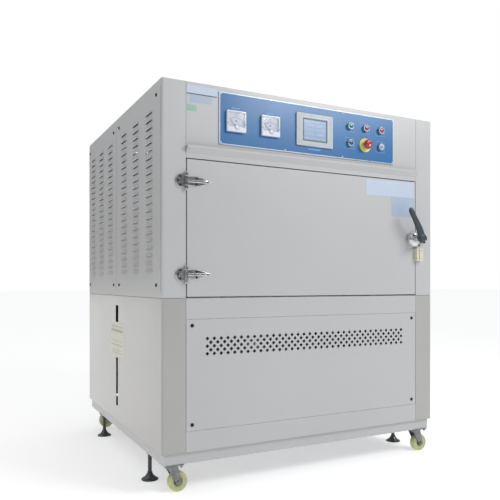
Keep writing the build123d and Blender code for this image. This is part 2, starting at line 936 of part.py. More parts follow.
for name, spot in button_spots.items():
    with BuildPart() as button:
        rod(spot, cap_radius, bezel_front - cap_proud, bezel_front - cap_proud + cap_depth)
        chamfer(button.faces().sort_by(Axis.Y)[0].edges(), cap_chamfer)
        rod(spot, stem_radius, bezel_front - cap_proud + cap_depth, stem_back)
    save(button.part, name)

# Emergency stop: a domed mushroom head on a stem
head_back = bezel_front - mushroom_gap
with BuildPart() as emergency_stop:
    rod(stop_spot, mushroom_radius, head_back - mushroom_depth, head_back)
    fillet(emergency_stop.faces().sort_by(Axis.Y)[0].edges(), mushroom_depth / 2)
    rod(stop_spot, stem_radius, head_back, stem_back)
save(emergency_stop.part, "emergency_stop")

# Key switch: a lock cylinder with its key slot
with BuildPart() as key_switch:
    rod(key_spot, key_radius, bezel_front - key_proud, stem_back)
    with Locations((key_spot[0], bezel_front - key_proud, key_spot[1])):
        Box(key_slot_width, 2 * key_slot_depth, key_slot_height, mode=Mode.SUBTRACT)
save(key_switch.part, "key_switch")


# Door: outer pan, insulation, inner liner with its raised plug, and gasket
plug_half = chamber_half - plug_clearance
plug_foot = chamber_foot + plug_clearance
plug_head = chamber_head - plug_clearance
plug_back = door_back + sheet + plug_depth
with BuildPart() as door_skin:
    block((-door_half, door_y, door_foot), (door_half, door_back, door_head))
    fillet(door_skin.edges().filter_by(Axis.Y), door_bend)
    fillet(door_skin.faces().sort_by(Axis.Y)[0].edges(), door_bend / 2)
    block(
        (-door_half + sheet, door_y + sheet, door_foot + sheet),
        (door_half - sheet, door_back, door_head - sheet),
        mode=Mode.SUBTRACT,
    )
save(door_skin.part, "door_skin")

with BuildPart() as door_insulation:
    block(
        (-door_half + sheet, door_y + sheet, door_foot + sheet),
        (door_half - sheet, door_back, door_head - sheet),
    )
    block(
        (-plug_half + sheet, door_back, plug_foot + sheet),
        (plug_half - sheet, plug_back - sheet, plug_head - sheet),
    )
save(door_insulation.part, "door_insulation")

with BuildPart() as door_liner:
    block((-door_half, door_back, door_foot), (door_half, door_back + sheet, door_head))
    block((-plug_half, door_back, plug_foot), (plug_half, plug_back, plug_head))
    fillet(door_liner.faces().sort_by(Axis.Y)[-1].edges(), plug_radius)
    block(
        (-plug_half + sheet, door_back, plug_foot + sheet),
        (plug_half - sheet, plug_back - sheet, plug_head - sheet),
        mode=Mode.SUBTRACT,
    )
save(door_liner.part, "door_liner")

gasket_half = chamber_half + gasket_width
gasket_inner = plug_half + free_clearance
with BuildPart() as door_gasket:
    block(
        (-gasket_half, door_back + sheet, chamber_foot - gasket_width),
        (gasket_half, frame_y - gasket_clearance, chamber_head + gasket_width),
    )
    fillet(door_gasket.edges().filter_by(Axis.Y), gasket_corner)
    fillet(door_gasket.faces().sort_by(Axis.Y)[-1].edges(), gasket_edge)
    block(
        (-gasket_inner, door_back + sheet, plug_foot - free_clearance),
        (gasket_inner, frame_y, plug_head + free_clearance),
        mode=Mode.SUBTRACT,
    )
save(door_gasket.part, "door_gasket")


# Hinges: the leaf on the post holds the pin, and the strap on the door turns on it
hinge_heights = [door_z + side * hinge_spacing / 2 for side in (1, -1)]
knuckle = barrel_length / 4
leaf_left = hinge_axis_x - leaf_width
strap_foot_x = hinge_axis_x + barrel_radius - strap_overlap
strap_bulge_x = hinge_axis_x + barrel_radius + strap_bulge_reach
strap_tip_x = hinge_axis_x + strap_length - strap_tip


def barrel(z_low, z_high, radius, mode=Mode.ADD):
    """Upright cylinder on the hinge axis, in the builder that is open."""
    with BuildSketch(Plane.XY.offset(z_low)) as disc:
        with Locations((hinge_axis_x, hinge_axis_y)):
            Circle(radius)
    extrude(disc.sketch, amount=z_high - z_low, mode=mode)


with BuildPart() as hinge_leaves:
    for z in hinge_heights:
        with BuildSketch(facing_front(front_y)) as leaf:
            with Locations((leaf_left + leaf_width / 2, z)):
                Rectangle(leaf_width, leaf_height)
            chamfer(leaf.vertices().group_by(Axis.X)[0], leaf_chamfer)
        extrude(amount=leaf_thickness)
        for low, high in ((z - 2 * knuckle, z - knuckle), (z + knuckle, z + 2 * knuckle)):
            barrel(low, high, barrel_radius)
        barrel(
            z - knuckle - free_clearance,
            z + knuckle + free_clearance,
            barrel_radius + barrel_clearance,
            mode=Mode.SUBTRACT,
        )
        barrel(z - 2 * knuckle, z + 2 * knuckle, hinge_pin_radius)
save(hinge_leaves.part, "hinge_leaves")

with BuildPart() as hinge_straps:
    for z in hinge_heights:
        with BuildSketch(facing_front(door_y)):
            with BuildLine():
                upper = Spline(
                    (strap_foot_x, z + strap_root / 2),
                    (strap_bulge_x, z + strap_bulge / 2),
                    (strap_tip_x, z + strap_tip / 2),
                )
                lower = Spline(
                    (strap_foot_x, z - strap_root / 2),
                    (strap_bulge_x, z - strap_bulge / 2),
                    (strap_tip_x, z - strap_tip / 2),
                )
                ThreePointArc(upper @ 1, (hinge_axis_x + strap_length, z), lower @ 1)
                Line((strap_foot_x, z - strap_root / 2), (strap_foot_x, z + strap_root / 2))
            make_face()
        extrude(amount=strap_thickness)
        barrel(z - knuckle + free_clearance, z + knuckle - free_clearance, barrel_radius)
        barrel(z - knuckle, z + knuckle, hinge_pin_radius + running_clearance, mode=Mode.SUBTRACT)
save(hinge_straps.part, "hinge_straps")


# Latch: a rounded body on the door, a lever that turns on it, and a keeper on the post
with BuildPart() as latch_body:
    with BuildSketch(facing_front(door_y)):
        with Locations((latch_x - latch_offset, latch_z - latch_offset)):
            RectangleRounded(latch_width, latch_height, latch_corner)
    extrude(amount=latch_body_depth, taper=latch_taper)
    fillet(latch_body.faces().sort_by(Axis.Y)[0].edges(), latch_edge)
    rod((latch_x, latch_z), latch_boss_radius, latch_y, door_y)
    rod(
        (latch_x, latch_z),
        spindle_radius + running_clearance,
        latch_y,
        latch_y + spindle_length + free_clearance,
        mode=Mode.SUBTRACT,
    )
save(latch_body.part, "latch_body")

cam_y = latch_y - latch_gap
lever_y = cam_y - cam_thickness
lever_lean = radians(lever_tilt)
with BuildPart() as latch_lever:
    with BuildSketch(facing_front(lever_y)):
        with Locations((latch_x, latch_z)):
            Circle(lever_hub_radius)
            with Locations((-sin(lever_lean) * lever_length, cos(lever_lean) * lever_length)):
                Circle(lever_tip_radius)
        make_hull()
    extrude(amount=lever_thickness)
    fillet(latch_lever.faces().sort_by(Axis.Y)[0].edges(), lever_front_edge)
    fillet(latch_lever.faces().sort_by(Axis.Y)[-1].edges(), lever_back_edge)
    with BuildSketch(facing_front(cam_y)):
        with Locations((latch_x, latch_z)):
            Circle(cam_hub_radius)
            Rectangle(cam_reach, cam_width, align=(Align.MIN, Align.CENTER))
    extrude(amount=cam_thickness)
    rod((latch_x, latch_z), spindle_radius, cam_y, latch_y + spindle_length)
save(latch_lever.part, "latch_lever")

with BuildPart() as latch_keeper:
    block(
        (keeper_x, front_y - keeper_plate, latch_z - keeper_height / 2),
        (keeper_x + keeper_width, front_y, latch_z + keeper_height / 2),
    )
    block(
        (keeper_x + keeper_margin, front_y - keeper_reach, latch_z - keeper_block / 2),
        (keeper_x + keeper_block, front_y, latch_z + keeper_block / 2),
    )
    fillet(latch_keeper.edges().filter_by(Axis.Y), block_edge)
save(latch_keeper.part, "latch_keeper")

# Door switch: the magnet on the door's edge, and the switch beside it on the post
switch_z = door_z - switch_drop
magnet_right = door_half + magnet_overhang
switch_left = magnet_right + switch_gap
with BuildPart() as switch_magnet:
    block(
        (magnet_right - magnet_width, front_y - switch_depth, switch_z - switch_height / 2),
        (magnet_right, door_y, switch_z + switch_height / 2),
    )
    fillet(switch_magnet.edges().filter_by(Axis.Y), block_edge)
save(switch_magnet.part, "switch_magnet")

with BuildPart() as door_switch:
    block(
        (switch_left, front_y - switch_depth, switch_z - switch_height / 2),
        (switch_left + switch_width, front_y, switch_z + switch_height / 2),
    )
    fillet(door_switch.edges().filter_by(Axis.Y), block_edge)
save(door_switch.part, "door_switch")


# Test chamber: liner with its front flange, and the insulation round it
lamp_hole = lamp_radius + lamp_hole_clearance
liner_half = chamber_half + sheet


def lamp_bores(radius, x_low, x_high):
    """Holes along X for all the lamps, cut from the part that is open."""
    with BuildSketch(Plane.YZ.offset(x_low)) as discs:
        with Locations(*[(y, lamp_z) for y in lamp_spots]):
            Circle(radius)
    extrude(discs.sketch, amount=x_high - x_low, mode=Mode.SUBTRACT)


with BuildPart() as chamber_liner:
    block(
        (-post_edge - flange / 2, frame_y, deck_top),
        (post_edge + flange / 2, chamber_front, insulation_top + sheet + flange / 2),
    )
    block(
        (-liner_half, frame_y, chamber_foot - sheet),
        (liner_half, chamber_back + sheet, chamber_head + sheet),
    )
    block(
        (-chamber_half, frame_y, chamber_foot), (chamber_half, chamber_back, chamber_head), mode=Mode.SUBTRACT
    )
    lamp_bores(lamp_hole, -liner_half, liner_half)
    rod((0, fan_z), fan_port_radius, chamber_back, chamber_back + sheet, mode=Mode.SUBTRACT)
save(chamber_liner.part, "chamber_liner")

with BuildPart() as chamber_insulation:
    block((-insulation_half, chamber_front, deck_top), (insulation_half, insulation_back, insulation_top))
    block(
        (-liner_half, chamber_front, chamber_foot - sheet),
        (liner_half, chamber_back + sheet, chamber_head + sheet),
        mode=Mode.SUBTRACT,
    )
    lamp_bores(lamp_hole, -insulation_half, insulation_half)
    rod((0, fan_z), fan_port_radius, chamber_back, insulation_back, mode=Mode.SUBTRACT)
save(chamber_insulation.part, "chamber_insulation")

with BuildPart() as uv_lamps:
    with BuildSketch(Plane.YZ.offset(-lamp_half)):
        with Locations(*[(y, lamp_z) for y in lamp_spots]):
            Circle(lamp_radius)
            Circle(lamp_radius - lamp_wall, mode=Mode.SUBTRACT)
    extrude(amount=2 * lamp_half)
save(uv_lamps.part, "uv_lamps")

with BuildPart() as lamp_holders:
    for x_low in (-lamp_half - holder_end, insulation_half):
        with BuildSketch(Plane.YZ.offset(x_low)):
            with Locations(*[(y, lamp_z) for y in lamp_spots]):
                RectangleRounded(holder_size, holder_size, holder_radius)
        extrude(amount=lamp_half + holder_end - insulation_half)
    lamp_bores(lamp_radius + free_clearance, -lamp_half - free_clearance, lamp_half + free_clearance)
save(lamp_holders.part, "lamp_holders")


# Specimen rack on two angle rails, with the specimen plates lying over its windows
specimen_pitches = (specimen_width + specimen_gap, specimen_length + specimen_gap)
specimen_columns = int(2 * rack_half / specimen_pitches[0])
rack_front = rack_y - rack_length / 2
rack_back = rack_y + rack_length / 2
with BuildPart() as rack_rails:
    for side in (-1, 1):
        wall_x = side * chamber_half
        ledge_x = side * (chamber_half - rail_ledge)
        leg_x = side * (chamber_half - sheet)
        block((min(wall_x, ledge_x), rack_front, rack_z - sheet), (max(wall_x, ledge_x), rack_back, rack_z))
        block((min(wall_x, leg_x), rack_front, rack_z - rail_leg), (max(wall_x, leg_x), rack_back, rack_z))
with BuildPart() as rack_frame:
    block((-rack_half, rack_front, rack_z), (rack_half, rack_back, rack_z + rack_thickness))
    with BuildSketch(Plane.XY.offset(rack_z)):
        with Locations((0, rack_y)):
            with GridLocations(*specimen_pitches, specimen_columns, specimen_rows):
                Rectangle(specimen_width - 2 * rack_seat, specimen_length - 2 * rack_seat)
    extrude(amount=rack_thickness, mode=Mode.SUBTRACT)
with BuildPart() as specimens:
    with BuildSketch(Plane.XY.offset(rack_z + rack_thickness)):
        with Locations((0, rack_y)):
            with GridLocations(*specimen_pitches, specimen_columns, specimen_rows):
                Rectangle(specimen_width, specimen_length)
    extrude(amount=specimen_thickness)
save_group((rack_rails, rack_frame, specimens), "specimen_rack")


# Water tray on the chamber floor, with its immersion heater
with BuildPart() as water_pan:
    with Locations((0, rack_y, chamber_foot)):
        Box(2 * tray_half, tray_length, tray_height, align=(Align.CENTER, Align.CENTER, Align.MIN))
    with Locations((0, rack_y, chamber_foot + sheet)):
        Box(
            2 * (tray_half - sheet),
            tray_length - 2 * sheet,
            tray_height,
            align=(Align.CENTER, Align.CENTER, Align.MIN),
            mode=Mode.SUBTRACT,
        )
heater_z = chamber_foot + sheet + heater_radius
with BuildPart() as heater:
    with BuildLine(Plane.XY.offset(heater_z)) as heater_path:
        FilletPolyline(
            (-tray_half + sheet, rack_y - heater_length / 2),
            (tray_half - heater_end_gap, rack_y - heater_length / 2),
            (tray_half - heater_end_gap, rack_y + heater_length / 2),
            (-tray_half + sheet, rack_y + heater_length / 2),
            radius=heater_bend,
        )
    with BuildSketch(Plane(origin=heater_path.line @ 0, z_dir=heater_path.line % 0)):
        Circle(heater_radius)
    sweep()
save_group((water_pan, heater), "water_tray")


# Circulation fan behind the chamber: housing with its motor, and the impeller
housing_back = insulation_back + fan_housing_depth
with BuildPart() as fan_scroll:
    rod((0, fan_z), fan_housing_radius, insulation_back, housing_back)
    rod((0, fan_z), fan_housing_radius + fan_flange, insulation_back, insulation_back + fan_flange_thickness)
    scroll_radius = fan_housing_radius - fan_sheet
    rod((0, fan_z), scroll_radius, insulation_back, housing_back - fan_sheet, mode=Mode.SUBTRACT)
    rod((0, fan_z), shaft_radius + shaft_gap, insulation_back, housing_back, mode=Mode.SUBTRACT)
    block(
        (-fan_inlet / 2, insulation_back + fan_flange, fan_z - fan_housing_radius),
        (fan_inlet / 2, housing_back - fan_flange, fan_z),
        mode=Mode.SUBTRACT,
    )
with BuildPart() as fan_motor:
    rod((0, fan_z), fan_motor_radius, housing_back, housing_back + fan_motor_depth)
    fillet(fan_motor.faces().sort_by(Axis.Y)[-1].edges(), fan_motor_edge)
    rod(
        (0, fan_z),
        shaft_radius + running_clearance,
        housing_back,
        housing_back + fan_motor_depth / 2 + free_clearance,
        mode=Mode.SUBTRACT,
    )
save_group((fan_scroll, fan_motor), "fan_housing")

impeller_front = insulation_back + (fan_housing_depth - impeller_depth) / 2
impeller_back = impeller_front + impeller_depth
with BuildPart() as fan_impeller:
    rod((0, fan_z), impeller_radius, impeller_back - impeller_disc, impeller_back)
    with BuildSketch(facing_front(impeller_back)):
        with Locations((0, fan_z)):
            with PolarLocations(blade_pitch_radius, impeller_blades):
                Rectangle(blade_length, blade_thickness, rotation=blade_angle)
    extrude(amount=impeller_depth)
    rod((0, fan_z), impeller_hub_radius, impeller_front + impeller_hub_recess, impeller_back)
    rod((0, fan_z), shaft_radius, impeller_front, housing_back + fan_motor_depth / 2)
save(fan_impeller.part, "fan_impeller")


# Water tank in the lower cabinet, and its sight tube behind the slots
tank_front = slot_y - tank_length / 2
with BuildPart() as water_tank:
    block((tank_x, tank_front, base_z), (tank_x + tank_width, tank_front + tank_length, base_z + tank_height))
    block(
        (tank_x + sheet, tank_front + sheet, base_z + sheet),
        (tank_x + tank_width - sheet, tank_front + tank_length - sheet, base_z + tank_height),
        mode=Mode.SUBTRACT,
    )

sight_low = base_z + sight_foot
with BuildPart() as sight_tube:
    with BuildSketch(Plane.XY.offset(sight_low)):
        with Locations((sight_x, slot_y)):
            Circle(sight_radius)
    extrude(amount=sight_height)
    for arm_z in (sight_low + sight_arm_foot, sight_low + sight_height - sight_arm_head):
        with BuildSketch(Plane.YZ.offset(sight_x)):
            with Locations((slot_y, arm_z)):
                Circle(sight_arm_radius)
        extrude(amount=tank_x - sight_x)
    with BuildSketch(Plane.XY.offset(sight_low + sight_floor)):
        with Locations((sight_x, slot_y)):
            Circle(sight_bore)
    extrude(amount=sight_height, mode=Mode.SUBTRACT)
save_group((water_tank, sight_tube), "water_tank")


# Electrical plate above the chamber, with ballasts, contactors, breakers and supply
plate_y = front_y + plate_front
plate_top = insulation_top + electrical_sheet
ballast_count = int(2 * electrical_half / ballast_pitch)
component_rows = (
    # count, pitch along X, distance behind the plate's front edge, width, length, height
    (ballast_count, ballast_pitch, 50.0, 190.0, 45.0, 38.0),
    (ballast_count, ballast_pitch, 110.0, 190.0, 45.0, 38.0),
    (5, 70.0, 220.0, 45.0, 80.0, 86.0),
    (6, 36.0, 340.0, 18.0, 78.0, 68.0),
    (1, 1.0, 395.0, 420.0, 30.0, 28.0),
)
with BuildPart() as mounting_plate:
    block(
        (-electrical_half, plate_y, insulation_top),
        (electrical_half, plate_y + electrical_length, plate_top),
    )
component_blocks = []
for count, pitch, setback, width, length, height in component_rows:
    with BuildPart() as row:
        with Locations((0, plate_y + setback, plate_top)):
            with GridLocations(pitch, 1, count, 1):
                Box(width, length, height, align=(Align.CENTER, Align.CENTER, Align.MIN))
    component_blocks.append(row)
save_group((mounting_plate, *component_blocks), "electrical_plate")


# Rear: two removable panels with louvres, and the water and cable fittings
rear_half = half_width - rear_panel_margin
rear_spans = (
    (base_z + rear_panel_margin, split_z - rear_panel_gap),
    (deck_top + rear_panel_gap, shell_top - rear_panel_margin),
)
water_spots = ((fitting_x, base_z + inlet_height), (fitting_x, base_z + drain_height))
gland_spot = (-fitting_x, base_z + drain_height)
with BuildPart() as rear_panels:
    for low, high in rear_spans:
        middle = (0, rear_y, (low + high) / 2)
        rear_plane = Plane(origin=middle, x_dir=(-1, 0, 0), z_dir=(0, 1, 0))
        add(louvred_panel(rear_plane, 2 * rear_half, high - low, rear_louvre_rows, 2 * louvre_column_pitch))
    for spot in (*water_spots, gland_spot):
        rod(spot, nipple_radius + free_clearance, rear_y, rear_y + sheet, mode=Mode.SUBTRACT)
save(rear_panels.part, "rear_panels")

rear_face = rear_y + sheet
with BuildPart() as rear_fittings:
    for spot in water_spots:
        rod(spot, nipple_radius, rear_y - fitting_depth, rear_y + rear_reach)
        rod(spot, nipple_radius + fitting_flange, rear_face, rear_face + fitting_flange_thickness)
        rod(spot, nipple_bore, rear_y - fitting_depth, rear_y + rear_reach, mode=Mode.SUBTRACT)
    rod(gland_spot, nipple_radius, rear_y - fitting_depth, rear_face)
    rod(gland_spot, gland_radius, rear_face, rear_face + gland_length)
    rod(gland_spot, nipple_bore, rear_y - fitting_depth, rear_face + gland_length, mode=Mode.SUBTRACT)
save(rear_fittings.part, "rear_fittings")


# Black domed screws of the vent panels, the grille panel and the rear panels
def side_screw_spots():
    """(y, z) of each vent panel's four corner screws."""
    spots = []
    for low, high in vent_spans:
        rear_inset = screw_inset_y if high < rear_y - screw_inset_y else screw_inset_y / 2
        for y in (low + screw_inset_y, high - rear_inset):
            for z in (vent_foot_z + screw_inset_z, vent_foot_z + vent_height - screw_inset_z):
                spots.append((y, z))
    return spots


grille_spots = [
    (sx * (front_half - grille_screw_inset), z)
    for sx in (-1, 1)
    for z in (grille_foot + grille_screw_inset, grille_head - grille_screw_inset)
]
rear_spots = [
    (x, z)
    for low, high in rear_spans
    for x in (-rear_half + screw_inset_z / 2, rear_half - screw_inset_z / 2)
    for z in (low + screw_inset_z, (low + high) / 2, high - screw_inset_z)
]
with BuildPart() as panel_screws:
    for side in (-1, 1):
        face_x = side * (half_width + vent_sheet)
        with BuildSketch(Plane.YZ.offset(face_x)):
            with Locations(*side_screw_spots()):
                Circle(screw_radius)
        extrude(amount=side * screw_height, taper=25)
    with BuildSketch(facing_front(front_y)):
        with Locations(*grille_spots):
            Circle(screw_radius)
    extrude(amount=screw_height, taper=25)
    with BuildSketch(facing_front(rear_face)):
        with Locations(*rear_spots):
            Circle(screw_radius)
    extrude(amount=-screw_height, taper=25)
save(panel_screws.part, "panel_screws")
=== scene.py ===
"""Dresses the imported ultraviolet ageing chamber: materials, detailed pieces, light and camera.

Lengths are millimetres in the frame's own axes, and the helpers turn them into metres. The stage,
the lights and the camera are in metres.
"""
import math
import random

import bmesh
import bpy
from mathutils import Matrix, Vector


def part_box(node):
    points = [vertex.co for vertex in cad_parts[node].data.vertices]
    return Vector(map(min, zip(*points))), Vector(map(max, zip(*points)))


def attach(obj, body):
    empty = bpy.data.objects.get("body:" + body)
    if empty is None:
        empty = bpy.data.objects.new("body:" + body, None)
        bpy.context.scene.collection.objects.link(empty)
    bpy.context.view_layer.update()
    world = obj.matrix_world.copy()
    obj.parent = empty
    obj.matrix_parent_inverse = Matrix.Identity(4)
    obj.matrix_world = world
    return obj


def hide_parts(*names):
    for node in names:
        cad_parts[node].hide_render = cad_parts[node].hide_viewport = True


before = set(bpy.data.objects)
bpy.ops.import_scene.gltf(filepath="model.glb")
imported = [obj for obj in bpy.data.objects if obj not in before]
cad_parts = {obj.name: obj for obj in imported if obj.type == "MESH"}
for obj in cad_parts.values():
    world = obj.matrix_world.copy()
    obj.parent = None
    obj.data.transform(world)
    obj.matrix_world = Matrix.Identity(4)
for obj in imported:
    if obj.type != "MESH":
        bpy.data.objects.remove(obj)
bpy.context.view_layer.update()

MM = 0.001
WHITE = (1.0, 1.0, 1.0, 1.0)


def extent(node):
    """Low corner, middle and high corner of a CAD node, in millimetres."""
    low, high = (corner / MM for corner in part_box(node))
    return low, (low + high) / 2, high


# Places read from the frame
FRONT_Y = extent("grille_panel")[0].y
HALF_WIDTH = extent("top_cover")[2].x
DOOR_Y = extent("door_skin")[0].y
panel_low, panel_middle, panel_high = extent("control_panel")
CONTROL_Y = panel_low.y
CONTROL_Z = panel_middle.z


# Materials


def linear(red, green, blue):
    """Scene-linear colour of a screen colour given from 0 to 255."""
    channels = []
    for value in (red / 255, green / 255, blue / 255):
        channels.append(value / 12.92 if value <= 0.04045 else ((value + 0.055) / 1.055) ** 2.4)
    return (*channels, 1.0)


def tint(colour):
    """Linear colour, from three numbers of a screen colour or from four that are linear already."""
    return linear(*colour) if len(colour) == 3 else colour


def darker(colour, factor):
    """The same colour with its light scaled."""
    return (*[channel * factor for channel in colour[:3]], 1.0)


class Look:
    """One procedural material, built node by node around a Principled shader."""

    def __init__(self, name, metallic=0.0, coat=0.0, coat_roughness=0.08, specular=0.5):
        self.material = bpy.data.materials.new(name)
        self.material.use_nodes = True
        self.nodes = self.material.node_tree.nodes
        self.links = self.material.node_tree.links
        self.shader = self.nodes["Principled BSDF"]
        self.shader.inputs["Metallic"].default_value = metallic
        self.shader.inputs["Coat Weight"].default_value = coat
        self.shader.inputs["Coat Roughness"].default_value = coat_roughness
        self.shader.inputs["Specular IOR Level"].default_value = specular
        self.place = self.add("ShaderNodeTexCoord").outputs["Object"]
        self.normal = None

    def add(self, kind, **values):
        node = self.nodes.new(kind)
        for name, value in values.items():
            setattr(node, name, value)
        return node

    def feed(self, socket, value):
        if isinstance(value, bpy.types.NodeSocket):
            self.links.new(value, socket)
        else:
            socket.default_value = value

    def noise(self, scale, detail=3.0, stretch=(1.0, 1.0, 1.0), shift=(0.0, 0.0, 0.0)):
        """Noise over the object's own metres, with its grain stretched along some axes."""
        mapping = self.add("ShaderNodeMapping")
        mapping.inputs["Scale"].default_value = stretch
        mapping.inputs["Location"].default_value = shift
        self.feed(mapping.inputs["Vector"], self.place)
        noise = self.add("ShaderNodeTexNoise")
        noise.inputs["Scale"].default_value = scale
        noise.inputs["Detail"].default_value = detail
        self.feed(noise.inputs["Vector"], mapping.outputs["Vector"])
        return noise.outputs["Fac"]

    def waves(self, scale, axis):
        """Even stripes across one axis."""
        wave = self.add("ShaderNodeTexWave", bands_direction=axis)
        wave.inputs["Scale"].default_value = scale
        self.feed(wave.inputs["Vector"], self.place)
        return wave.outputs["Fac"]

    def cells(self, scale):
        """Rounded cells, for mineral wool, cast metal and water drops."""
        cells = self.add("ShaderNodeTexVoronoi")
        cells.inputs["Scale"].default_value = scale
        self.feed(cells.inputs["Vector"], self.place)
        return cells.outputs["Distance"]

    def patches(self, scale, distance="EUCLIDEAN"):
        """A grey of its own for each of many patches."""
        cells = self.add("ShaderNodeTexVoronoi", distance=distance)
        cells.inputs["Scale"].default_value = scale
        self.feed(cells.inputs["Vector"], self.place)
        tone = self.add("ShaderNodeRGBToBW")
        self.feed(tone.inputs["Color"], cells.outputs["Color"])
        return tone.outputs["Val"]

    def spread(self, value, low, high, start=0.3, end=0.7):
        """The value from start to end, stretched to run from low to high."""
        node = self.add("ShaderNodeMapRange")
        self.feed(node.inputs["Value"], value)
        for name, number in zip(("From Min", "From Max", "To Min", "To Max"), (start, end, low, high)):
            node.inputs[name].default_value = number
        return node.outputs["Result"]

    def mix(self, share, first, second):
        """Colour between two others."""
        node = self.add("ShaderNodeMix", data_type="RGBA")
        self.feed(node.inputs[0], share)
        self.feed(node.inputs[6], first)
        self.feed(node.inputs[7], second)
        return node.outputs[2]

    def edges(self, radius):
        """Normal rounded over sharp edges, and a mask that is 1 along them."""
        bevel = self.add("ShaderNodeBevel", samples=4)
        bevel.inputs["Radius"].default_value = radius * MM
        geometry = self.add("ShaderNodeNewGeometry")
        dot = self.add("ShaderNodeVectorMath", operation="DOT_PRODUCT")
        self.links.new(bevel.outputs["Normal"], dot.inputs[0])
        self.links.new(geometry.outputs["Normal"], dot.inputs[1])
        self.normal = bevel.outputs["Normal"]
        return self.spread(dot.outputs["Value"], 1.0, 0.0, 0.72, 0.98)

    def colour(self, value):
        self.feed(self.shader.inputs["Base Color"], value)

    def rough(self, value):
        self.feed(self.shader.inputs["Roughness"], value)

    def bump(self, height, depth, strength=1.0):
        """Relief of the given depth, on top of what is there."""
        node = self.add("ShaderNodeBump")
        node.inputs["Strength"].default_value = strength
        node.inputs["Distance"].default_value = depth * MM
        self.feed(node.inputs["Height"], height)
        if self.normal is not None:
            self.links.new(self.normal, node.inputs["Normal"])
        self.normal = node.outputs["Normal"]
        self.links.new(self.normal, self.shader.inputs["Normal"])


def surface(name, colour, deep, rough, cloud=30.0, grain=1500.0, depth=0.01, stretch=(1.0, 1.0, 1.0),
            edge=0.0, edge_highlight_and_shade=None, **shader):
    """Material whose colour and gloss drift slowly, with fine relief and rounded edges, along which patches
    of a lighter colour paint a highlight and of a darker colour paint shade.
    """
    look = Look(name, **shader)
    drift = look.noise(cloud)
    tone = look.mix(look.spread(drift, 0.0, 1.0), tint(colour), tint(deep))
    if edge:
        mask = look.edges(edge)
        # Patches of the edge colour along the edges: a lighter one is a painted highlight, a darker one is
        # painted shade.
        if edge_highlight_and_shade is not None:
            patchy = look.noise(60.0, 2.0)
            painted_edge_share = look.add("ShaderNodeMath", operation="MULTIPLY")
            look.links.new(mask, painted_edge_share.inputs[0])
            look.links.new(look.spread(patchy, 0.0, 1.0, 0.4, 0.65), painted_edge_share.inputs[1])
            tone = look.mix(painted_edge_share.outputs["Value"], tone, tint(edge_highlight_and_shade))
    look.colour(tone)
    look.rough(look.spread(look.noise(cloud * 2.3, 2.0, shift=(3.1, 1.7, 0.4)), *rough))
    look.bump(look.noise(grain, 2.0, stretch), depth)
    return look.material


PAINT = linear(185, 186, 188)
CHROME = (0.7, 0.71, 0.72, 1.0)
STEEL = (0.56, 0.57, 0.57, 1.0)
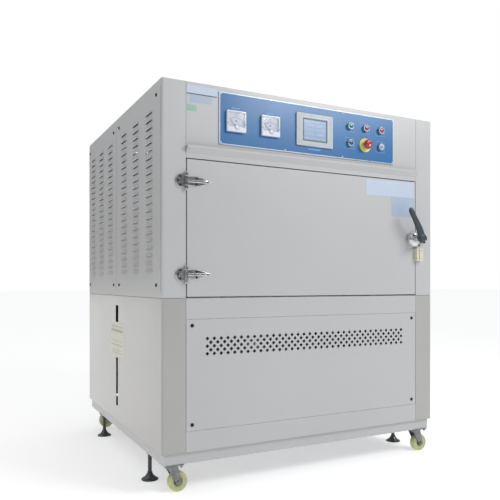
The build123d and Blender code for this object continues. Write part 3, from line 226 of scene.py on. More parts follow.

# Where a look gets an edge colour, it is painted along the edges: the lighter ones on paint, plastic and
# metals are painted highlights, and the castor tyre's darker one is painted shade.
looks = {
    "cabinet_paint": surface(
        "cabinet_paint_satin", PAINT, (181, 182, 184), (0.32, 0.4), cloud=1.6, grain=420.0, depth=0.012,
        edge=1.6, edge_highlight_and_shade=(222, 222, 220), coat=0.25, coat_roughness=0.22),
    "side_gloss": surface(
        "lower_side_gloss_paint", (168, 167, 165), (164, 163, 160), (0.16, 0.26), cloud=2.2, grain=14.0,
        depth=0.5, edge=1.6, coat=0.6, coat_roughness=0.12),
    "panel_blue": surface(
        "control_panel_blue_film", (4, 94, 152), (8, 102, 162), (0.3, 0.38), cloud=2.0, grain=1400.0,
        depth=0.012, stretch=(0.15, 1.0, 1.0), edge=0.8, coat=0.35, coat_roughness=0.2),
    "black_steel": surface(
        "screw_black_zinc", (26, 27, 30), (38, 38, 42), (0.24, 0.4), cloud=120.0, depth=0.02, edge=0.5,
        edge_highlight_and_shade=(96, 98, 104), metallic=0.5),
    "zinc": surface(
        "zinc_plated_steel", (0.27, 0.285, 0.29, 1.0), (0.16, 0.17, 0.175, 1.0), (0.26, 0.46), cloud=45.0,
        grain=700.0, depth=0.03, edge=0.8, edge_highlight_and_shade=(0.5, 0.5, 0.49, 1.0), metallic=0.9),
    "dark_steel": surface(
        "foot_dark_steel", (0.12, 0.125, 0.13, 1.0), (0.055, 0.06, 0.065, 1.0), (0.2, 0.34), cloud=60.0,
        grain=800.0, depth=0.03, edge=0.8, edge_highlight_and_shade=(0.4, 0.4, 0.4, 1.0), metallic=0.85),
    # The tyre's darker edge colour is painted shade along its rims.
    "castor_polyurethane": surface(
        "castor_yellow_polyurethane", (196, 198, 150), (178, 182, 128), (0.36, 0.5), cloud=70.0,
        grain=500.0, depth=0.04, edge=0.8, edge_highlight_and_shade=(120, 122, 92)),
    "chrome": surface(
        "hinge_polished_chrome", CHROME, (0.52, 0.53, 0.54, 1.0), (0.08, 0.2), cloud=50.0, grain=500.0,
        depth=0.02, edge=0.8, edge_highlight_and_shade=(0.9, 0.9, 0.9, 1.0), metallic=1.0),
    "lever_plastic": surface(
        "lever_slate_plastic", (58, 68, 76), (48, 58, 66), (0.38, 0.52), grain=2200.0, depth=0.05, edge=1.0,
        edge_highlight_and_shade=(84, 94, 102)),
    "cream_plastic": surface(
        "door_switch_cream_plastic", (216, 212, 192), (208, 203, 180), (0.34, 0.46), cloud=60.0, depth=0.02,
        edge=0.8),
    "meter_plastic": surface(
        "meter_case_pale_plastic", (216, 220, 228), (208, 213, 223), (0.14, 0.24), cloud=40.0, grain=900.0,
        edge=0.8, coat=0.5),
    "needle_aluminium": surface(
        "needle_black_aluminium", (24, 26, 30), (34, 36, 40), (0.4, 0.55), cloud=90.0, grain=1800.0),
    "screen_housing": surface(
        "screen_housing_grey_plastic", (178, 184, 186), (170, 176, 179), (0.4, 0.52), cloud=20.0,
        grain=2400.0, depth=0.03, edge=0.8),
    # The bezel metal's blue tint is a painted reflection of the blue control panel.
    "bezel_metal": surface(
        "switch_bezel_metal_painted_panel_reflection", (0.42, 0.5, 0.58, 1.0), (0.34, 0.41, 0.48, 1.0), (0.24, 0.4),
        cloud=90.0, depth=0.02, edge=0.5, metallic=0.8),
    "green_button": surface(
        "button_green_lens", (22, 132, 96), (16, 116, 84), (0.12, 0.24), cloud=80.0, grain=700.0, coat=0.6),
    "red_button": surface(
        "button_red_lens", (178, 40, 48), (164, 32, 42), (0.16, 0.28), cloud=80.0, grain=700.0, coat=0.5),
    "blue_button": surface(
        "button_blue_lens", (34, 84, 136), (28, 74, 124), (0.14, 0.26), cloud=80.0, grain=700.0, coat=0.5),
    "key_metal": surface(
        "key_switch_nickel", (0.62, 0.63, 0.64, 1.0), (0.5, 0.51, 0.52, 1.0), (0.14, 0.3), cloud=120.0,
        depth=0.02, edge=0.5, metallic=1.0),
    "stainless": surface(
        "stainless_brushed", STEEL, (0.47, 0.48, 0.48, 1.0), (0.24, 0.4), cloud=6.0, grain=700.0,
        depth=0.02, stretch=(0.02, 0.02, 1.0), edge=1.2, edge_highlight_and_shade=(0.75, 0.75, 0.75, 1.0), metallic=1.0),
    "silicone": surface(
        "gasket_grey_silicone", (172, 172, 168), (158, 158, 154), (0.5, 0.66), cloud=25.0, grain=700.0,
        depth=0.06, edge=1.2),
    "lamp_holder": surface(
        "lamp_holder_white_plastic", (222, 222, 216), (210, 210, 202), (0.4, 0.54), cloud=40.0, grain=900.0,
        depth=0.03, edge=0.8),
    "impeller_aluminium": surface(
        "impeller_cast_aluminium", (0.5, 0.5, 0.5, 1.0), (0.38, 0.38, 0.38, 1.0), (0.34, 0.5), grain=350.0,
        depth=0.08, edge=0.8, metallic=0.95),
    "brass": surface(
        "brass_machined", (0.62, 0.45, 0.2, 1.0), (0.5, 0.35, 0.15, 1.0), (0.2, 0.36), cloud=70.0,
        grain=900.0, depth=0.02, edge=0.6, edge_highlight_and_shade=(0.8, 0.66, 0.38, 1.0), metallic=1.0),
}


def galvanised_look():
    """Zinc sheet with its crystal spangle."""
    look = Look("galvanised_spangle_sheet", metallic=0.85)
    tone = look.patches(90.0)
    share = look.spread(tone, 0.0, 1.0, 0.2, 0.8)
    look.edges(1.0)
    look.colour(look.mix(share, (0.42, 0.44, 0.45, 1.0), (0.56, 0.58, 0.59, 1.0)))
    look.rough(look.spread(tone, 0.34, 0.5, 0.2, 0.8))
    look.bump(look.noise(300.0), 0.02)
    return look.material


def wool_look():
    """Matted mineral wool slab."""
    look = Look("mineral_wool_slab", specular=0.2)
    fibres = look.noise(260.0, 6.0, (1.0, 1.0, 3.0))
    look.colour(look.mix(look.spread(fibres, 0.0, 1.0), linear(206, 190, 138), linear(176, 158, 104)))
    look.rough(look.spread(fibres, 0.85, 1.0))
    look.bump(look.cells(140.0), 0.8)
    look.bump(fibres, 0.6)
    return look.material


def lamp_look():
    """Fluorescent tube: clear glass over a milky phosphor coat."""
    look = Look("lamp_tube_glass", coat=1.0, coat_roughness=0.04)
    cloud = look.noise(30.0, 2.0, (0.2, 1.0, 1.0))
    look.colour(look.mix(look.spread(cloud, 0.0, 1.0), linear(226, 230, 240), linear(206, 212, 232)))
    look.rough(look.spread(cloud, 0.08, 0.16))
    look.bump(look.noise(60.0), 0.01)
    look.shader.inputs["Emission Color"].default_value = linear(196, 206, 255)
    look.shader.inputs["Emission Strength"].default_value = 0.12
    return look.material


def tank_look():
    """Milky translucent polyethylene."""
    look = Look("tank_natural_polyethylene", specular=0.4)
    cloud = look.noise(8.0, 3.0)
    look.colour(look.mix(look.spread(cloud, 0.0, 1.0), linear(222, 226, 224), linear(206, 212, 212)))
    look.rough(look.spread(cloud, 0.3, 0.42))
    look.shader.inputs["Subsurface Weight"].default_value = 0.35
    look.shader.inputs["Subsurface Radius"].default_value = (0.01, 0.01, 0.012)
    look.edges(1.0)
    look.bump(look.noise(220.0), 0.05)
    return look.material


def equipment_look():
    """Control gear on the mounting plate: zinc plate with grey, cream and black housings."""
    look = Look("electrical_gear_housings", coat=0.1)
    share = look.spread(look.patches(7.0, "CHEBYCHEV"), 0.0, 1.0, 0.3, 0.7)
    look.edges(1.0)
    look.colour(look.mix(share, linear(152, 156, 160), linear(206, 206, 198)))
    look.rough(look.spread(look.noise(25.0), 0.36, 0.52))
    look.bump(look.waves(60.0, "X"), 0.15, 0.4)
    return look.material


looks["galvanised"] = galvanised_look()
looks["mineral_wool"] = wool_look()
looks["lamp_glass"] = lamp_look()
looks["tank_plastic"] = tank_look()
looks["equipment"] = equipment_look()

GLOSS_NODES = ("lower_side_left", "lower_side_right")
for name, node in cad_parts.items():
    slot = node.material_slots[0]
    slot.material = looks["side_gloss" if name in GLOSS_NODES else slot.material.name]

# Building blocks

FACES = {
    "front": ((1, 0, 0), (0, 0, 1), (0, -1, 0)),
    "rear": ((-1, 0, 0), (0, 0, 1), (0, 1, 0)),
    "left": ((0, -1, 0), (0, 0, 1), (-1, 0, 0)),
    "right": ((0, 1, 0), (0, 0, 1), (1, 0, 0)),
    "top": ((1, 0, 0), (0, 1, 0), (0, 0, 1)),
    "under": ((1, 0, 0), (0, -1, 0), (0, 0, -1)),
}


def place(side, x, y, z, turn=0.0):
    """Matrix of a spot on one side: its own third axis points out of that side."""
    across, up, out = (Vector(axis) for axis in FACES[side])
    spin = Matrix.Rotation(math.radians(turn), 3, out)
    matrix = Matrix((spin @ across, spin @ up, out)).transposed().to_4x4()
    matrix.translation = Vector((x, y, z))
    return matrix


def on_panel(x, z, turn=0.0):
    """Spot on the control panel."""
    return place("front", x, CONTROL_Y, z, turn)


def on_door(x, z, turn=0.0):
    """Spot on the door skin."""
    return place("front", x, DOOR_Y, z, turn)


def on_post(x, z, rise=0.0, turn=0.0):
    """Spot on the front of a post, or at a rise above it."""
    return place("front", x, FRONT_Y - rise, z, turn)


def circle(radius, steps=32):
    """Points round a circle, or round an ellipse when the radius is a pair."""
    wide, high = radius if isinstance(radius, tuple) else (radius, radius)
    angles = [math.tau * i / steps for i in range(steps)]
    return [(wide * math.cos(angle), high * math.sin(angle)) for angle in angles]


def rounded(width, height, radius, steps=5):
    """Rectangle with round corners."""
    points = []
    for quarter, (sx, sy) in enumerate(((1, 1), (-1, 1), (-1, -1), (1, -1))):
        for i in range(steps + 1):
            angle = math.pi / 2 * (quarter + i / steps)
            points.append((sx * (width / 2 - radius) + radius * math.cos(angle),
                           sy * (height / 2 - radius) + radius * math.sin(angle)))
    return points


def inset(outline, distance):
    """Outline drawn in by a distance, for shapes without sharp inner corners."""
    moved = []
    for before, point, after in zip(outline[-1:] + outline[:-1], outline, outline[1:] + outline[:1]):
        along = (Vector(after) - Vector(before)).normalized()
        moved.append((point[0] - along.y * distance, point[1] + along.x * distance))
    return moved


class Shape:
    """A mesh being built, in millimetres."""

    def __init__(self):
        self.mesh = bmesh.new()

    def ring(self, matrix, points):
        return [self.mesh.verts.new(matrix @ Vector(point)) for point in points]

    def skin(self, matrix, rings, caps=(True, True)):
        """Quads from each closed ring to the next, with the ends filled in."""
        made = [self.ring(matrix, points) for points in rings]
        for lower, upper in zip(made, made[1:]):
            for i, corner in enumerate(lower):
                j = (i + 1) % len(lower)
                self.mesh.faces.new((corner, lower[j], upper[j], upper[i]))
        for wanted, end in zip(caps, (made[0], made[-1])):
            if wanted:
                self.mesh.faces.new(end)

    def plate(self, matrix, outline, low, high, chamfer=0.0):
        """Flat piece from low to high, with its outer edge broken."""
        levels = [(outline, low), (outline, high - chamfer)]
        if chamfer:
            levels.append((inset(outline, chamfer), high))
        self.skin(matrix, [[(u, v, level) for u, v in points] for points, level in levels])

    def frame(self, matrix, outer, inner, low, high):
        """Flat ring between two outlines that have as many points as each other."""
        order = ((outer, low), (outer, high), (inner, high), (inner, low), (outer, low))
        made = [self.ring(matrix, [(u, v, level) for u, v in points]) for points, level in order[:4]]
        made.append(made[0])
        for lower, upper in zip(made, made[1:]):
            for i, corner in enumerate(lower):
                j = (i + 1) % len(lower)
                self.mesh.faces.new((corner, lower[j], upper[j], upper[i]))

    def turned(self, matrix, profile, steps=32, caps=(True, True)):
        """Round piece whose profile lists radius and height."""
        rings = [[(u, v, height) for u, v in circle(radius, steps)] for radius, height in profile]
        self.skin(matrix, rings, caps)

    def screw(self, matrix, radius, height):
        """Domed head with a cross recess."""
        slot = radius * 0.16
        reach = radius * 0.55
        self.turned(matrix, [(radius, 0), (radius, height * 0.25), (radius * 0.93, height * 0.6),
                             (radius * 0.78, height * 0.88), (reach * 1.12, height)], 24, (False, False))
        rim = [(reach * 1.12 * u, reach * 1.12 * v) for u, v in circle(1.0, 24)]
        cross = []
        for quarter in range(4):
            turn = Matrix.Rotation(math.pi / 2 * quarter, 2)
            for point in ((reach, -slot), (reach, 0.0), (reach, slot), (slot * 1.4, slot * 1.4)):
                cross.append(tuple(turn @ Vector(point)))
        outer = self.ring(matrix, [(u, v, height) for u, v in rim])
        inner = self.ring(matrix, [(u, v, height) for u, v in cross])
        floor = self.ring(matrix, [(u * 0.8, v * 0.8, height * 0.35) for u, v in cross])
        edges = []
        for ring in (outer, inner):
            edges += [self.mesh.edges.new((ring[i], ring[(i + 1) % len(ring)])) for i in range(len(ring))]
        bmesh.ops.triangle_fill(self.mesh, edges=edges, use_beauty=True, use_dissolve=False)
        for i, corner in enumerate(inner):
            j = (i + 1) % len(inner)
            self.mesh.faces.new((corner, inner[j], floor[j], floor[i]))
        self.mesh.faces.new(floor)

    def letters(self, matrix, text, size):
        """Centred numerals, flat on the surface."""
        curve = bpy.data.curves.new("numerals", "FONT")
        curve.body = text
        curve.size = size
        curve.align_x = "CENTER"
        curve.align_y = "CENTER"
        holder = bpy.data.objects.new("numerals", curve)
        flat = bpy.data.meshes.new_from_object(holder)
        flat.transform(matrix)
        self.mesh.from_mesh(flat)
        bpy.data.objects.remove(holder)
        bpy.data.curves.remove(curve)
        bpy.data.meshes.remove(flat)

    def finish(self, name, body, slot, replaced=(), look=None, bevel=0.0, angle=35.0):
        """Object that rides on a body, in its slot's own look unless it is given another."""
        bmesh.ops.remove_doubles(self.mesh, verts=self.mesh.verts, dist=0.002)
        bmesh.ops.recalc_face_normals(self.mesh, faces=self.mesh.faces)
        bmesh.ops.scale(self.mesh, vec=(MM, MM, MM), verts=self.mesh.verts)
        mesh = bpy.data.meshes.new(name)
        self.mesh.to_mesh(mesh)
        self.mesh.free()
        mesh.shade_smooth()
        mesh.set_sharp_from_angle(angle=math.radians(angle))
        mesh.materials.append(look or looks[slot])
        piece = bpy.data.objects.new(name, mesh)
        bpy.context.scene.collection.objects.link(piece)
        if bevel:
            modifier = piece.modifiers.new("edges", "BEVEL")
            modifier.width = bevel * MM
            modifier.segments = 3
            modifier.limit_method = "ANGLE"
            modifier.angle_limit = math.radians(40.0)
            modifier.harden_normals = True
        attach(piece, body)
        if replaced:
            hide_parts(*replaced)
        return piece


def islands(node):
    """Low and high corners, in millimetres, of each loose part of a CAD node."""
    mesh = node.data
    parent = list(range(len(mesh.vertices)))

    def root(i):
        while parent[i] != i:
            parent[i] = parent[parent[i]]
            i = parent[i]
        return i

    keys = {}
    for vertex in mesh.vertices:
        key = tuple(round(value, 5) for value in vertex.co)
        parent[root(vertex.index)] = root(keys.setdefault(key, vertex.index))
    for edge in mesh.edges:
        parent[root(edge.vertices[0])] = root(edge.vertices[1])
    groups = {}
    for vertex in mesh.vertices:
        groups.setdefault(root(vertex.index), []).append(vertex.co / MM)
    return [(Vector(map(min, zip(*group))), Vector(map(max, zip(*group)))) for group in groups.values()]


# Control panel

silver = surface("panel_trim_silver", (186, 196, 206), (170, 184, 198), (0.25, 0.4), cloud=20.0,
                 metallic=0.35)
legend = surface("legend_print_pale_blue", (104, 160, 212), (92, 150, 206), (0.34, 0.46), grain=1800.0)
dial_card = surface("dial_card_white", (214, 216, 226), (204, 208, 220), (0.5, 0.65), grain=2000.0)
ink = surface("dial_ink", (70, 74, 92), (86, 90, 106), (0.5, 0.7), cloud=60.0, grain=2000.0)
yellow = surface("emergency_disc_yellow", (226, 220, 112), (214, 206, 92), (0.36, 0.5), cloud=25.0,
                 depth=0.02, edge=0.5)

PANEL_WIDTH = panel_high.x - panel_low.x
PANEL_HEIGHT = panel_high.z - panel_low.z
TRIM_WIDTH = 4.0
trim = Shape()
trim.frame(on_panel(0, CONTROL_Z), rounded(PANEL_WIDTH, PANEL_HEIGHT, 3.0),
           rounded(PANEL_WIDTH - 2 * TRIM_WIDTH, PANEL_HEIGHT - 2 * TRIM_WIDTH, 2.0), 0.0, 0.9)
trim.finish("control_panel_trim", "cabinet", "bezel_metal", look=silver)

PANEL_SCREW_X = (-417.5, -135.0, 147.0, 417.5)
PANEL_SCREW_RISE = 93.5
fixings = Shape()
for x in PANEL_SCREW_X:
    for sign in (-1, 1):
        fixings.screw(on_panel(x, CONTROL_Z + sign * PANEL_SCREW_RISE, 20.0 * sign), 4.6, 2.2)
fixings.finish("control_panel_screws", "cabinet", "bezel_metal", look=silver)

SWITCH_X = [extent(name)[1].x for name in ("start_button", "stop_button", "reset_button")]
SWITCH_Z = [extent(name)[1].z for name in ("start_button", "lamp_button")]
LEGEND_SIZE = 48.0
LEGEND_LINE = 1.5
LEGEND_FILM = 0.25
marks = Shape()
for i, x in enumerate(SWITCH_X):
    for j, z in enumerate(SWITCH_Z):
        if (i, j) != (1, 1):
            outer = rounded(LEGEND_SIZE, LEGEND_SIZE, 3.0)
            inner = rounded(LEGEND_SIZE - 2 * LEGEND_LINE, LEGEND_SIZE - 2 * LEGEND_LINE, 2.0)
            marks.frame(on_panel(x, z), outer, inner, 0.0, LEGEND_FILM)
meter_low, meter_middle, meter_high = extent("meter_cases")
METER_HALF = (meter_high.z - meter_low.z) / 2
METER_X = (meter_low.x + METER_HALF, meter_high.x - METER_HALF)
METER_Z = meter_middle.z
METER_BAR_Z = 1450.0
METER_BAR_WIDTH = 34.0
HMI_X = extent("hmi_unit")[1].x
HMI_BAR_Z = 1329.0
HMI_BAR_WIDTH = 60.0
BARS = [(x, METER_BAR_Z, METER_BAR_WIDTH) for x in METER_X] + [(HMI_X, HMI_BAR_Z, HMI_BAR_WIDTH)]
for x, z, width in BARS:
    marks.plate(on_panel(x, z), rounded(width, 5.0, 1.5), 0.0, LEGEND_FILM)
marks.finish("control_panel_legends", "cabinet", "panel_blue", look=legend)

disc = Shape()
disc.turned(on_panel(SWITCH_X[1], SWITCH_Z[1]), [(30.0, 0.0), (30.0, 1.2), (29.4, 1.8), (15.0, 1.8)], 64)
disc.finish("emergency_disc", "cabinet", "bezel_metal", look=yellow)

STEM_RADIUS = 7.0
STEM_DEPTH = 18.0
CAP_FOOT = 6.2
CAP = [(11.4, CAP_FOOT), (11.4, 11.2), (11.0, 12.0), (10.2, 12.2), (10.0, 12.0), (9.6, 12.3), (8.4, 13.2),
       (6.2, 13.75), (3.2, 13.95), (0.6, 14.0)]
dim_red = surface("button_brown_red_lens", (138, 62, 58), (122, 52, 50), (0.14, 0.26), cloud=80.0,
                  grain=700.0, coat=0.5)
pink_red = surface("button_pink_red_lens", (170, 66, 78), (158, 56, 70), (0.14, 0.26), cloud=80.0,
                   grain=700.0, coat=0.5)
BUTTONS = {
    "start_button": (0, 0, "green_button", None),
    "stop_button": (1, 0, "red_button", dim_red),
    "reset_button": (2, 0, "red_button", pink_red),
    "lamp_button": (0, 1, "blue_button", None),
}
for name, (column, row, slot, own_look) in BUTTONS.items():
    cap = Shape()
    spot = on_panel(SWITCH_X[column], SWITCH_Z[row])
    cap.turned(spot, [(STEM_RADIUS, -STEM_DEPTH), (STEM_RADIUS, CAP_FOOT), *CAP], 48)
    cap.finish(f"{name}_lens", name, slot, (name,), own_look)

mushroom = Shape()
MUSHROOM_FOOT = 17.0
MUSHROOM = [(18.2, MUSHROOM_FOOT), (19.6, 18.0), (20.0, 20.0), (20.0, 23.5), (19.0, 27.2), (16.6, 30.2),
            (13.2, 32.2), (9.6, 33.0), (7.4, 32.4), (5.0, 31.6), (0.6, 31.4)]
mushroom.turned(on_panel(SWITCH_X[1], SWITCH_Z[1]),
                [(STEM_RADIUS, -STEM_DEPTH), (STEM_RADIUS, MUSHROOM_FOOT), *MUSHROOM], 64)
mushroom.finish("emergency_stop_head", "emergency_stop", "red_button",
                ("emergency_stop",))

keyway = Shape()
keyway.plate(on_panel(SWITCH_X[2], SWITCH_Z[1]), rounded(2.0, 10.5, 0.9), 10.6, 11.2)
keyway.finish("key_switch_keyway", "key_switch", "black_steel")

# Meters: dial card with its scale, zero screw, clear window and side notches
PIVOT_DROP = 20.0
DIAL_RISE = 3.0
CARD_SIZE = 71.0
CARD_TOP = DIAL_RISE + 0.5
INK_TOP = CARD_TOP + 0.15
SCALE_RADIUS = 36.0
SCALE_HALF_ANGLE = 45.0
SCALE_STEPS = 10
NUMERAL_STEP = 50
NUMERAL_RADIUS = SCALE_RADIUS + 11.0
NUMERAL_SIZE = 6.5
SCALE_LINE = 0.8
ZERO_CAP_DROP = 22.0
WINDOW_WIDTH = 71.6
WINDOW_HEIGHT = 55.0
WINDOW_LIFT = 8.0
WINDOW_FOOT = 10.4
WINDOW_TOP = 11.8
NOTCH_OUT = 38.3
NOTCH_DROP = 9.0
cards, scales, caps, rims = Shape(), Shape(), Shape(), Shape()
for x in METER_X:
    cards.plate(on_panel(x, METER_Z), rounded(CARD_SIZE, CARD_SIZE, 2.0), DIAL_RISE, CARD_TOP, 0.2)
    pivot = on_panel(x, METER_Z - PIVOT_DROP)
    for step in range(SCALE_STEPS + 1):
        lean = math.radians(SCALE_HALF_ANGLE * (1 - 2 * step / SCALE_STEPS))
        long_mark = step % 5 == 0
        reach = 6.5 if long_mark else 4.0
        middle = SCALE_RADIUS + reach / 2
        tick = pivot @ Matrix.Rotation(lean, 4, "Z") @ Matrix.Translation((0, middle, 0))
        scales.plate(tick, rounded(1.3 if long_mark else 0.8, reach, 0.3, 2), CARD_TOP, INK_TOP)
        if long_mark:
            spot = (-NUMERAL_RADIUS * math.sin(lean), NUMERAL_RADIUS * math.cos(lean), DIAL_RISE + 0.7)
            scales.letters(pivot @ Matrix.Translation(spot), str(step // 5 * NUMERAL_STEP), NUMERAL_SIZE)
    sweep = [math.radians(SCALE_HALF_ANGLE - 3.0 * i) for i in range(31)]
    edges = ((SCALE_RADIUS, sweep), (SCALE_RADIUS - SCALE_LINE, sweep[::-1]))
    band = [(-r * math.sin(a), r * math.cos(a)) for r, angles in edges for a in angles]
    scales.plate(pivot, band, CARD_TOP, INK_TOP)
    scales.turned(on_panel(x + 1.0, METER_Z + 3.0), [(3.4, CARD_TOP), (3.4, DIAL_RISE + 0.7)], 16)
    low = on_panel(x, METER_Z - ZERO_CAP_DROP)
    rims.turned(low, [(9.6, 11.6), (9.6, 13.0), (8.8, 13.4), (8.0, 13.0), (8.0, 12.0)], 40, (True, False))
    caps.turned(low, [(7.8, 11.8), (7.8, 13.6), (6.8, 14.4), (3.0, 14.8), (0.5, 14.8)], 40)
    for sign in (-1, 1):
        notch = on_panel(x + sign * NOTCH_OUT, METER_Z - NOTCH_DROP)
        rims.plate(notch, rounded(4.0, 6.0, 1.0), 10.0, 12.4, 0.3)
cards.finish("meter_dial_cards", "cabinet", "meter_plastic", look=dial_card)
scales.finish("meter_scales", "cabinet", "needle_aluminium", look=ink)
grey_ring = surface("meter_cap_ring_grey", (150, 156, 172), (138, 144, 162), (0.25, 0.4), cloud=60.0)
rims.finish("meter_cap_rings", "cabinet", "meter_plastic", look=grey_ring)
caps.finish("meter_zero_caps", "cabinet", "meter_plastic")

window_look = Look("meter_clear_window", coat=1.0, coat_roughness=0.03)
window_look.colour(window_look.mix(window_look.noise(20.0), linear(235, 240, 250), linear(222, 230, 245)))
window_look.rough(0.04)
window_look.bump(window_look.noise(40.0), 0.01)
window_look.shader.inputs["Alpha"].default_value = 0.16
glass = Shape()
for x in METER_X:
    pane = rounded(WINDOW_WIDTH, WINDOW_HEIGHT, 2.0)
    glass.plate(on_panel(x, METER_Z + WINDOW_LIFT), pane, WINDOW_FOOT, WINDOW_TOP, 0.5)
glass.finish("meter_windows", "cabinet", "lamp_glass", look=window_look.material)

# Touch screen: dark inner frame, lit panel and the blocks of an idle page
HMI_RISE = 5.0
GLASS_TOP = HMI_RISE + 0.6
BEZEL_FACE = HMI_RISE + 2.0
GROOVE_FILM = 0.15
GROOVES = ((133.0, 106.0, 1.2), (170.0, 126.0, 0.8))
FRAME_SIZE = (119.4, 92.4)
GLASS_SIZE = (110.0, 83.0)
GLASS_VIEW = (109.0, 82.0)
PAGE_BLOCKS = [(0, 34, 100, 6), (0, -33, 100, 7)] + [(u, v, 44, 12) for v in (20, 2, -16) for u in (-26, 24)]
screen_spot = on_panel(HMI_X, CONTROL_Z)
dark_frame = surface("screen_frame_dark", (84, 104, 116), (74, 94, 106), (0.3, 0.45))
glassy = Look("screen_panel_blue_grey", coat=0.6, coat_roughness=0.1)
glassy.colour(glassy.mix(glassy.spread(glassy.noise(9.0), 0.0, 1.0), linear(132, 154, 186),
                         linear(148, 166, 194)))
glassy.rough(glassy.spread(glassy.noise(40.0), 0.16, 0.24))
glassy.bump(glassy.waves(900.0, "Z"), 0.004, 0.3)
glassy.shader.inputs["Emission Color"].default_value = linear(120, 146, 186)
glassy.shader.inputs["Emission Strength"].default_value = 0.08
ring = Shape()
ring.frame(screen_spot, rounded(*FRAME_SIZE, 1.0), rounded(*GLASS_VIEW, 2.0), HMI_RISE, HMI_RISE + 1.6)
ring.finish("screen_frame", "cabinet", "screen_housing", look=dark_frame, bevel=0.3)
panel = Shape()
panel.plate(screen_spot, rounded(*GLASS_SIZE, 1.0), HMI_RISE, GLASS_TOP)
panel.finish("screen_panel", "cabinet", "screen_housing", look=glassy.material)
page = Shape()
for u, v, width, height in PAGE_BLOCKS:
    spot = screen_spot @ Matrix.Translation((u, v, 0))
    page.plate(spot, rounded(width, height, 1.2, 3), GLASS_TOP, GLASS_TOP + 0.1)
page_look = surface("screen_page_blocks", (152, 170, 198), (144, 164, 194), (0.2, 0.3), depth=0.005,
                    coat=0.5)
page.finish("screen_page", "cabinet", "screen_housing", look=page_look)
groove = Shape()
for width, height, line in GROOVES:
    groove.frame(screen_spot, rounded(width, height, 3.0), rounded(width - 2 * line, height - 2 * line, 2.4),
                 BEZEL_FACE, BEZEL_FACE + GROOVE_FILM)
groove.finish("screen_bezel_lines", "cabinet", "screen_housing", look=silver)

# Blank plates: the photograph has lettering and signs here, which the part leaves off

plate_look = surface("blank_plate_blue_grey", (190, 202, 218), (180, 194, 212), (0.3, 0.42), cloud=6.0,
                     coat=0.3)
plate_deep = surface("blank_plate_deeper_blue_grey", (158, 174, 194), (170, 184, 202), (0.3, 0.42),
                     cloud=7.0, coat=0.3)
line_look = surface("plate_line_slate", (72, 86, 108), (84, 98, 118), (0.4, 0.5))
green_tag = surface("blank_tag_green", (150, 184, 170), (138, 174, 158), (0.4, 0.5), cloud=20.0)


def label(name, body, side, low, high, level, look, radius=2.0, thickness=0.4):
    """Blank plate between two corners on one side of the cabinet."""
    u, v = (low[0] + high[0]) / 2, (low[1] + high[1]) / 2
    spot = place(side, u, level, v) if side == "front" else place(side, level, u, v)
    piece = Shape()
    piece.plate(spot, rounded(high[0] - low[0], high[1] - low[1], radius), 0.0, thickness, 0.15)
    piece.finish(name, body, "cabinet_paint", look=look)


label("door_plate_wide", "door", "front", (276, 1164), (547, 1233), DOOR_Y, plate_look)
label("door_plate_small", "door", "front", (416, 1078), (547, 1163), DOOR_Y, plate_deep)
label("header_plate", "cabinet", "front", (-553, 1484), (-432, 1514), FRONT_Y, plate_look)
label("header_plate_line", "cabinet", "front", (-553, 1480), (-432, 1484), FRONT_Y, line_look, 0.6, 0.5)
label("header_plate_lower", "cabinet", "front", (-541, 1451), (-452, 1478), FRONT_Y, plate_deep)
label("header_tag", "cabinet", "front", (-553, 1418), (-515, 1441), FRONT_Y, green_tag)

note_look = surface("side_note_cream", (204, 204, 190), (196, 196, 182), (0.34, 0.46), cloud=9.0,
                    grain=900.0, depth=0.02, coat=0.2)
label("side_note", "cabinet", "left", (-78, 452), (166, 598), -HALF_WIDTH, note_look)
NOTE_Y = 44
NOTE_RULES = ((582, 190, 4), (563, 200, 12), (516, 190, 3), (498, 200, 5), (474, 150, 3), (462, 170, 3))
note_lines = Shape()
for z, width, height in NOTE_RULES:
    note_lines.plate(place("left", -HALF_WIDTH - 0.4, NOTE_Y, z), rounded(width, height, 1.0, 3), 0.0, 0.15)
note_ink = surface("side_note_grey_rules", (164, 162, 148), (172, 170, 158), (0.4, 0.5), cloud=20.0,
                   grain=900.0)
note_lines.finish("side_note_rules", "cabinet", "cabinet_paint", look=note_ink)

# Screws of the vent, grille and rear panels

heads = Shape()
turns = random.Random(7)
for low, high in islands(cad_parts["panel_screws"]):
    middle, size = (low + high) / 2, high - low
    if size.x < size.y:
        side = "right" if middle.x > 0 else "left"
        foot = low.x if middle.x > 0 else high.x
        spot = place(side, foot, middle.y, middle.z, turns.uniform(0, 90))
        height = size.x
    else:
        side = "rear" if middle.y > 0 else "front"
        foot = low.y if middle.y > 0 else high.y
        spot = place(side, middle.x, foot, middle.z, turns.uniform(0, 90))
        height = size.y
    heads.screw(spot, size.z / 2, height)
heads.finish("panel_screw_heads", "cabinet", "black_steel", ("panel_screws",))

HOOD_FACE = 12.0
hood_screw = Shape()
hood_screw.screw(on_post(-549.0, 1277.0, HOOD_FACE, 30.0), 3.6, 2.2)
hood_screw.finish("hood_end_screw", "cabinet", "black_steel")

# Hinges

BARREL = 7.0
LEAF_HALF = 35.0
leaves_low, leaves_middle, leaves_high = extent("hinge_leaves")
HINGE_X = leaves_high.x - BARREL
HINGE_Y = DOOR_Y - BARREL
HINGE_RISE = (leaves_high.z - leaves_low.z) / 2 - LEAF_HALF
HINGE_Z = (leaves_middle.z + HINGE_RISE, leaves_middle.z - HINGE_RISE)
LEAF_SCREWS = ((-22.0, 15.5), (-31.0, 1.0), (-22.5, -14.5))
STRAP = ((4.0, 15.5), (14.0, 16.6), (28.0, 18.0), (42.0, 18.5), (54.0, 17.2), (66.0, 13.6), (78.0, 9.4),
         (86.0, 6.5), (92.0, 5.4), (96.5, 3.2), (98.6, 1.2))
STRAP_SCREWS = ((42.0, 11.0), (42.0, -11.0), (87.0, 0.0))


